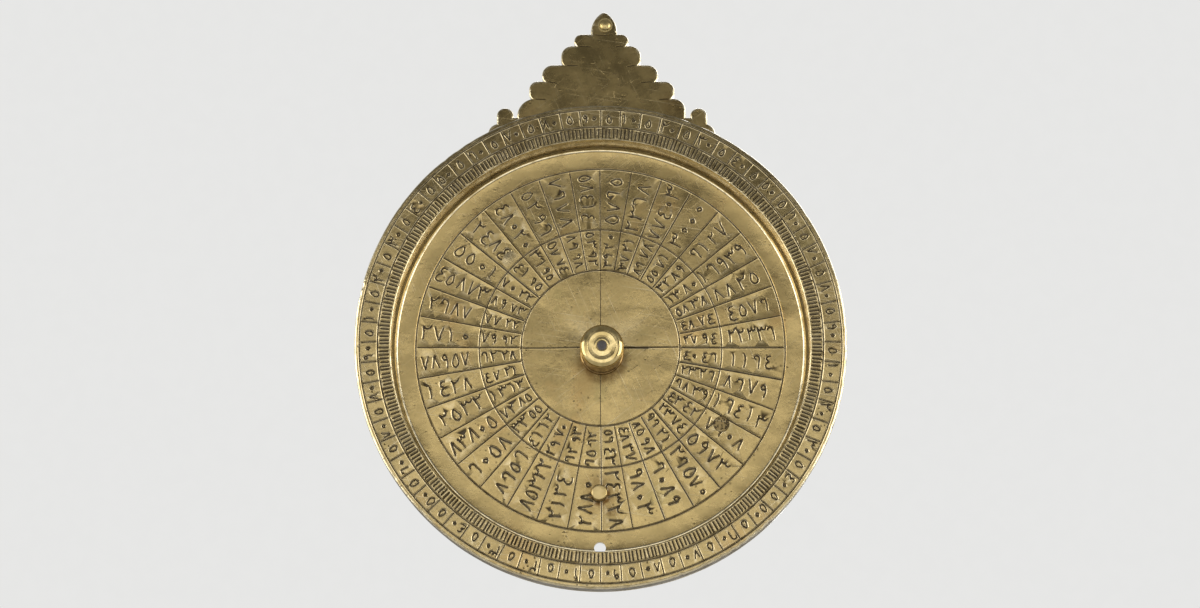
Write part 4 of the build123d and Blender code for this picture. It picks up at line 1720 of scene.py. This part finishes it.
@dataclass
class CentrePin:
    """The centre pin: knob, sleeve, iron pin and washer, all turned about one axis."""

    x: float = 0.4
    z: float = -1.85
    pin_bore: float = 1.42
    shank_bore: float = 2.25
    # Dirt round the pin's bore, and painted shade at the neck under the knob's head: share and reach of
    # each
    bore_grime: Point = (0.8, 0.12)
    neck_grime: Point = (0.75, 0.36)
    knob_set_back: float = 0.12
    pin_end_proud: float = 0.12
    knob_roll: float = 1.9
    roll_depth: float = 1.38
    segments: int = 128

    def build(self) -> None:
        """Build and dress the four pieces."""
        polished = TurnedBrass("turned_brass", self.x, self.z, roughness=0.13).make()
        # Painted shade: the sleeve's brass is far darker than the knob's, for the dark under the knob.
        sleeve_shaded = TurnedBrass("sleeve_brass_shaded", self.x, self.z, metal=(0.32, 0.21, 0.085),
                           shade=(0.18, 0.115, 0.045), roughness=0.18).make()
        self.turn("turned_knob", self.knob_profile(), polished, Slot.TURNED, "pivot_knob")
        self.turn("turned_sleeve", self.sleeve_profile(), sleeve_shaded, Slot.TURNED, "pivot_sleeve")
        self.turn("turned_washer", self.washer_profile(), polished, Slot.TURNED, "pivot_washer")
        self.build_pin()

    def turn(self, name: str, profile: np.ndarray, material: bpy.types.Material, slot: Slot,
             node: str) -> None:
        """Turn one closed profile and dress the piece.

        Args:
            name: Name of the piece.
            profile: Its section in radius and y.
            material: Its finish.
            slot: The record's slot.
            node: The CAD node that it stands for.
        """
        shell = Shell()
        neck = profile[:, 1].max() if node == "pivot_knob" else profile[:, 1].min()
        share, reach = self.bore_grime
        round_pin = [share * math.exp(-((radius - self.pin_bore) / reach) ** 2) for radius, _ in profile]
        # Painted shade: rows near the neck, under the knob's head, are darkened through the groove mask.
        share, reach = self.neck_grime
        shade_at_neck = [share * math.exp(-((y - neck) / reach) ** 2) for _, y in profile]
        dirt_and_shade = [max(pair) for pair in zip(round_pin, shade_at_neck)]
        shell.strips(turned_rows(profile, (self.x, self.z), self.segments), groove=dirt_and_shade, closed=True)
        dress(shell.make(name, 40.0), material, Body.PIVOT, slot, node)

    def knob_profile(self) -> np.ndarray:
        """Draw the knob's section: lip, groove, rounded rim, dished face and a raised ring.

        Returns:
            The section in radius and y.
        """
        end, under, rim = measured("pivot_knob")
        front = end + self.knob_set_back
        roll = [(rim - self.knob_roll * (1 - math.sin(turn)),
                 front + self.roll_depth * (1 - math.cos(turn)))
                for turn in np.radians([90, 80, 70, 60, 50, 40, 30, 20, 10, 0])]
        section = [(self.pin_bore, front), (self.pin_bore, under), (rim - 0.1, under), (rim, under - 0.10),
                   (rim, under - 0.22), (rim - 0.26, under - 0.36), (rim, under - 0.50), *roll,
                   (4.45, front - 0.01), (4.30, front - 0.07), (4.10, front - 0.01), (3.2, front + 0.03),
                   (2.5, front + 0.02), (2.05, front - 0.04), (1.75, front - 0.04), (1.55, front + 0.12)]
        return soften_profile(section, 0.04, True)

    def sleeve_profile(self) -> np.ndarray:
        """Draw the sleeve's section: beaded foot, polished side and neck.

        Returns:
            The section in radius and y.
        """
        top, foot, bead = measured("pivot_sleeve")
        side = bead - 0.4
        section = [(self.shank_bore, top), (self.shank_bore, foot), (side + 0.25, foot),
                   (side + 0.4, foot - 0.2), (side + 0.4, foot - 0.5), (side + 0.2, foot - 0.8),
                   (side - 0.08, foot - 0.95), (side, foot - 1.3), (side, top + 1.3),
                   (side - 0.4, top + 0.75), (side - 0.4, top)]
        return soften_profile(section, 0.12, True)

    def washer_profile(self) -> np.ndarray:
        """Draw the washer's section, with its bevelled rear edge.

        Returns:
            The section in radius and y.
        """
        front, back, rim = measured("pivot_washer")
        section = [(self.shank_bore, front), (rim, front), (rim, front + 0.5), (rim - 0.5, back),
                   (self.shank_bore, back)]
        return soften_profile(section, 0.12, True)

    def build_pin(self) -> None:
        """Build the iron pin: its front end from rings, its slotted shank from the frame."""
        pin = softened_copy("pivot_pin", "iron_pin", 0.10)
        dress(pin, DarkIron("pin_iron").make(), Body.PIVOT, Slot.IRON, "pivot_pin")
        end, _, _ = measured("pivot_pin")
        front = end - self.pin_end_proud
        shell = Shell()
        section = [(0.0, front + 0.02), (0.20, front + 0.03), (0.28, front + 0.10), (0.60, front + 0.10),
                   (0.70, front), (0.88, front), (0.96, front + 0.08), (1.44, front + 0.12)]
        rows = turned_rows(np.array(section), (self.x, self.z), 64)
        rows.append(rows[-1] + np.array([0.0, 0.25, 0.0]))
        rows.append(np.repeat(rows[-1].mean(axis=0)[None], 64, axis=0))
        shell.strips(rows, wear=(0.9, 0.7, 0.0, 0.0, 0.6, 0.5, 0.0, 0.0, 0.0, 0.0))
        dress(shell.make("iron_pin_end", 60.0), bpy.data.materials["pin_iron"], Body.PIVOT, Slot.IRON,
              "pivot_pin")


@dataclass
class PlateFittings:
    """Small pieces on the plate: peg, floor plug, limb rivets, throne rivet and its roves."""

    peg_x: float = -0.37
    peg_z: float = -45.3
    plug_x: float = 36.9
    plug_z: float = -23.8
    plug_points: int = 66
    plug_rings: int = 22
    plug_dish: float = 0.05
    dimples: int = 44
    dimple_depth: float = 0.11
    dimple_reach: float = 0.17
    rivet_x: float = 1.5
    rivet_z: float = 103.85

    def build(self) -> None:
        """Build and dress the pieces."""
        self.build_peg()
        self.build_plug()
        self.build_throne_rivet()
        rivets = softened_copy("limb_rivets", "flush_rivets", 0.05)
        finish = AgedBrass("rivet_brass", metal=(0.47, 0.35, 0.15), clouded=(0.33, 0.24, 0.10))
        dress(rivets, finish.make(), Body.MATER, Slot.RIVET, "limb_rivets")
        for node, name in (("throne_pin_front_rove", "front_rove"), ("throne_pin_rear_rove", "rear_rove")):
            dress(softened_copy(node, name, 0.08), bpy.data.materials["rivet_brass"], Body.MATER,
                  Slot.RIVET, node)

    def build_peg(self) -> None:
        """Build the peg: a filed stud with a flat top."""
        top, back, radius = measured("plate_peg")
        arc = [(radius - 0.5 + 0.5 * math.sin(turn), top + 0.5 - 0.5 * math.cos(turn))
               for turn in np.radians([0, 18, 36, 54, 72, 90])]
        section = [(0.0, top - 0.03), (radius * 0.5, top - 0.02), *arc, (radius, -0.35),
                   (radius - 0.12, 0.0), (1.4, 0.0), (1.4, back - 0.6), (1.98, back), (0.0, back)]
        shell = Shell()

        def filed(angles: np.ndarray, reach: float, y: float) -> np.ndarray:
            """Flatten the side a little, as a file leaves it."""
            return -0.025 * (1 + np.sin(5 * angles + 1.3)) * (reach > 1.9) * (y < -0.3)

        rows = turned_rows(np.array(section), (self.peg_x, self.peg_z), 72, filed)
        dirt = [0.0] * 8 + [0.9, 1.0] + [0.0] * 4
        shell.strips(rows, groove=dirt)
        finish = TurnedBrass("peg_brass", self.peg_x, self.peg_z, metal=(0.60, 0.46, 0.22), roughness=0.34)
        dress(shell.make("filed_peg", 40.0), finish.make(), Body.MATER, Slot.TURNED, "plate_peg")

    def build_plug(self) -> None:
        """Build the plug: a flush disc, peened all over with small dimples."""
        front, back, radius = measured("floor_plug")
        rng = random.Random(3)
        spots = [polar(radius * 0.88 * math.sqrt(rng.random()), rng.uniform(0, 360))
                 for _ in range(self.dimples)]
        count = self.plug_points
        middle = np.array([self.plug_x, self.plug_z])
        rows = []
        dirt = []
        for reach in np.linspace(0.0, radius, self.plug_rings):
            ring = circle(max(reach, 1e-4), count)
            depth = np.zeros(count)
            for spot in spots:
                away = np.hypot(*(ring - spot).T)
                depth = np.maximum(depth, self.dimple_depth * np.exp(-(away / self.dimple_reach) ** 2))
            depth += self.plug_dish * (reach / radius) ** 6
            rows.append(at_depth(ring + middle, front + depth))
            dirt.append(depth / self.dimple_depth)
        rows.append(at_depth(circle(radius, count) + middle, back))
        rows.append(at_depth(np.repeat(middle[None], count, axis=0), back))
        shell = Shell()
        shell.strips(rows)
        shell.groove = [np.concatenate([*dirt, np.zeros(2 * count)])]
        finish = AgedBrass("plug_brass", metal=(0.34, 0.25, 0.11), clouded=(0.24, 0.18, 0.085),
                           roughness=0.46, pits=1.0)
        dress(shell.make("peened_plug", 60.0), finish.make(), Body.MATER, Slot.PLUG, "floor_plug")

    def build_throne_rivet(self) -> None:
        """Build the rivet in the apex: a low dome in front, a peened tail behind."""
        crown, tail, head = measured("throne_pin")
        dome = [(head * math.sin(turn), crown + 0.9 * (1 - math.cos(turn)))
                for turn in np.radians([0, 12, 24, 36, 48, 60, 72, 84, 90])]
        section = [*dome, (head - 0.05, -0.36), (1.0, -0.35), (1.0, tail - 0.75), (1.6, tail - 0.68),
                   (1.45, tail - 0.30), (0.9, tail - 0.05), (0.0, tail)]
        rows = turned_rows(np.array(section), (self.rivet_x, self.rivet_z), 64)
        shell = Shell()
        shell.strips(rows, groove=[0.0] * 8 + [0.5, 0.9] + [0.0] * (len(rows) - 10))
        finish = TurnedBrass("rivet_head_brass", self.rivet_x, self.rivet_z, metal=(0.70, 0.55, 0.27),
                             roughness=0.30)
        dress(shell.make("domed_rivet", 45.0), finish.make(), Body.MATER, Slot.TURNED, "throne_pin")


@dataclass
class Alidade:
    """The sighting rule at the back, with its vanes and their rivets."""

    edge: float = 0.18

    def build(self) -> None:
        """Build and dress the pieces."""
        finish = AgedBrass("alidade_brass", metal=(0.52, 0.39, 0.17), clouded=(0.39, 0.285, 0.118),
                           roughness=0.33).make()
        for node, name in (("alidade_bar", "sighting_rule"), ("left_vane", "left_sight"),
                           ("right_vane", "right_sight")):
            dress(softened_copy(node, name, self.edge), finish, Body.ALIDADE, Slot.ALIDADE, node)
        for node, name in (("left_vane_rivets", "left_sight_rivets"),
                           ("right_vane_rivets", "right_sight_rivets")):
            dress(softened_copy(node, name, 0.06), bpy.data.materials["rivet_brass"], Body.ALIDADE,
                  Slot.RIVET, node)


@dataclass
class Suspension:
    """What the instrument hangs from, and the wedge that locks the pin."""

    ring_segments: int = 120
    wire_segments: int = 28
    unevenness: float = 0.03
    joint_angle: float = 250.0
    joint_half: float = 1.6
    joint_depth: float = 0.10

    def build(self) -> None:
        """Build and dress the pieces."""
        finish = AgedBrass("suspension_brass", metal=(0.54, 0.41, 0.18), clouded=(0.40, 0.30, 0.13),
                           roughness=0.30, pits=0.3).make()
        dress(softened_copy("pivot_wedge", "horse_wedge", 0.12), finish, Body.WEDGE, Slot.SUSPENSION,
              "pivot_wedge")
        dress(softened_copy("shackle", "swivel_shackle", 0.16), finish, Body.SHACKLE, Slot.SUSPENSION,
              "shackle")
        self.build_ring(finish)

    def build_ring(self, finish: bpy.types.Material) -> None:
        """Build the ring: forged wire, a little uneven, with a closed joint.

        Args:
            finish: The ring's finish.
        """
        low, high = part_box("suspension_ring")
        centre = (low + high) / 2 / MM
        wire = (high.y - low.y) / MM / 2
        mean = (high.x - low.x) / MM / 2 - wire
        rows = []
        for index in range(self.ring_segments):
            turn = FULL_TURN * index / self.ring_segments
            gap = abs((math.degrees(turn) - self.joint_angle + 180) % 360 - 180)
            thick = wire * (1 - self.unevenness * (1 + math.sin(5 * turn)) / 2)
            thick -= self.joint_depth if gap < self.joint_half else 0.0
            ring = []
            for step in range(self.wire_segments):
                around = FULL_TURN * step / self.wire_segments
                reach = mean + thick * math.cos(around)
                ring.append((centre.x + reach * math.cos(turn), centre.y + thick * math.sin(around),
                             centre.z + reach * math.sin(turn)))
            rows.append(np.array(ring))
        shell = Shell()
        shell.strips(rows, closed=True)
        dress(shell.make("forged_ring", 50.0), finish, Body.RING, Slot.SUSPENSION, "suspension_ring")


@dataclass(frozen=True)
class Softbox:
    """One soft lamp: where it hangs, its width and height in metres, and its power in watts."""

    name: str
    place: tuple[float, float, float]
    size: tuple[float, float]
    power: float


@dataclass
class Studio:
    """Pale stage, soft light and the camera."""

    floor_z: float = -0.24
    floor_reach: float = 1.6
    floor_corners: int = 96
    wall_y: float = 1.5
    wall_reach: float = 2.4
    wall_top: float = 2.4
    pale: Colour = (0.80, 0.80, 0.79)
    grain_scale: float = 60.0
    room_light: Colour = (0.80, 0.80, 0.80)
    room_strength: float = 0.24
    lens: float = 76.25
    camera_place: tuple[float, float, float] = (-0.000154, -0.76665, -0.15138)
    camera_tilt: float = 12.155
    aim: tuple[float, float, float] = (0.0, 0.0, 0.01)
    softboxes: tuple[Softbox, ...] = (
        Softbox("front_softbox", (-0.10, -1.05, -0.05), (0.95, 0.58), 2.1),
        Softbox("left_softbox", (-0.80, -0.52, 0.0), (0.80, 0.70), 5.4),
        Softbox("right_softbox", (0.80, -0.54, 0.02), (0.75, 0.70), 5.0),
        Softbox("rear_softbox", (0.35, 0.95, 0.35), (0.90, 0.70), 6.0))

    def build(self) -> None:
        """Build the stage, the lights and the camera."""
        self.build_floor()
        self.build_wall()
        self.build_world()
        for box in self.softboxes:
            self.hang(box)
        self.build_camera()

    def build_floor(self) -> None:
        """Lay the pale floor under the instrument, and below the camera."""
        corners = [(x, y, self.floor_z) for x, y in circle(self.floor_reach, self.floor_corners)]
        floor = self.sheet("pale_floor", corners)
        p = Painter("pale_floor")
        self.coat(p, shade=0.98, roughness=0.8)
        floor.data.materials.append(p.material)

    def build_wall(self) -> None:
        """Stand a pale wall behind the instrument, whose colour shows as it is written."""
        corners = [(side * self.wall_reach, self.wall_y, z)
                   for side, z in ((-1, self.floor_z), (1, self.floor_z), (1, self.wall_top),
                                   (-1, self.wall_top))]
        wall = self.sheet("pale_wall", corners)
        p = Painter("pale_wall")
        colour = self.coat(p, shade=0.99, roughness=0.9)
        plain = p.tree.nodes.new("ShaderNodeEmission")
        p.put(plain.inputs["Color"], colour)
        plain.inputs["Strength"].default_value = 1.0
        path = p.tree.nodes.new("ShaderNodeLightPath")
        seen = p.math("MAXIMUM", path.outputs["Is Camera Ray"], path.outputs["Is Glossy Ray"])
        seen = p.math("MAXIMUM", seen, path.outputs["Is Transmission Ray"])
        mix = p.tree.nodes.new("ShaderNodeMixShader")
        output = next(node for node in p.tree.nodes if node.type == "OUTPUT_MATERIAL")
        p.put(mix.inputs["Fac"], seen)
        p.put(mix.inputs[1], p.shader.outputs["BSDF"])
        p.put(mix.inputs[2], plain.outputs["Emission"])
        p.put(output.inputs["Surface"], mix.outputs["Shader"])
        wall.data.materials.append(p.material)

    @staticmethod
    def sheet(name: str, corners: Sequence[tuple[float, float, float]]) -> bpy.types.Object:
        """Make one flat face of the stage.

        Args:
            name: Name of the object.
            corners: Its corners in metres, in order.

        Returns:
            The new object.
        """
        mesh = bpy.data.meshes.new(name)
        mesh.from_pydata(corners, [], [tuple(range(len(corners)))])
        return placed(name, mesh)

    def coat(self, p: Painter, shade: float, roughness: float) -> Socket:
        """Paint a face of the stage pale, with a faint grain.

        Args:
            p: The material that receives it.
            shade: How light the grain's darker parts are, as a share of the pale colour.
            roughness: Roughness of the paint.

        Returns:
            The colour.
        """
        grain = p.ramp(p.noise(self.grain_scale), 0.3, 0.7)
        colour = p.mix(grain, self.pale, shaded(self.pale, shade))
        p.put(p.shader.inputs["Base Color"], colour)
        p.shader.inputs["Roughness"].default_value = roughness
        return colour

    def build_world(self) -> None:
        """Fill the room with even grey light."""
        world = bpy.data.worlds.new("studio")
        bpy.context.scene.world = world
        world.use_nodes = True
        room = world.node_tree.nodes["Background"]
        room.inputs["Color"].default_value = (*self.room_light, 1.0)
        room.inputs["Strength"].default_value = self.room_strength

    def hang(self, box: Softbox) -> None:
        """Hang one softbox, aimed at the middle of the instrument.

        Args:
            box: The softbox.
        """
        light = bpy.data.lights.new(box.name, "AREA")
        light.shape = "RECTANGLE"
        light.size, light.size_y = box.size
        light.energy = box.power
        lamp = placed(box.name, light)
        lamp.location = box.place
        lamp.rotation_euler = (Vector(self.aim) - Vector(box.place)).to_track_quat("-Z", "Y").to_euler()
        lamp.visible_camera = False

    def build_camera(self) -> None:
        """Set the camera in front and below, as the photograph was taken."""
        camera = bpy.data.cameras.new("camera")
        camera.lens = self.lens
        camera.sensor_width = 36.0
        camera.clip_start, camera.clip_end = 0.01, 20.0
        eye = placed("camera", camera)
        eye.location = self.camera_place
        eye.rotation_euler = (math.radians(90 + self.camera_tilt), 0, 0)
        bpy.context.scene.camera = eye
        bpy.context.scene.view_settings.view_transform = "Standard"


def main() -> None:
    """Build the instrument piece by piece, then the studio."""
    logging.basicConfig(level=logging.INFO, format="%(name)s: %(message)s")
    scales = Scales()
    MaterPlate(scales).build()
    Limb(scales).build()
    CentrePin().build()
    PlateFittings().build()
    Alidade().build()
    Suspension().build()
    Studio().build()


if __name__ == "__main__":
    main()
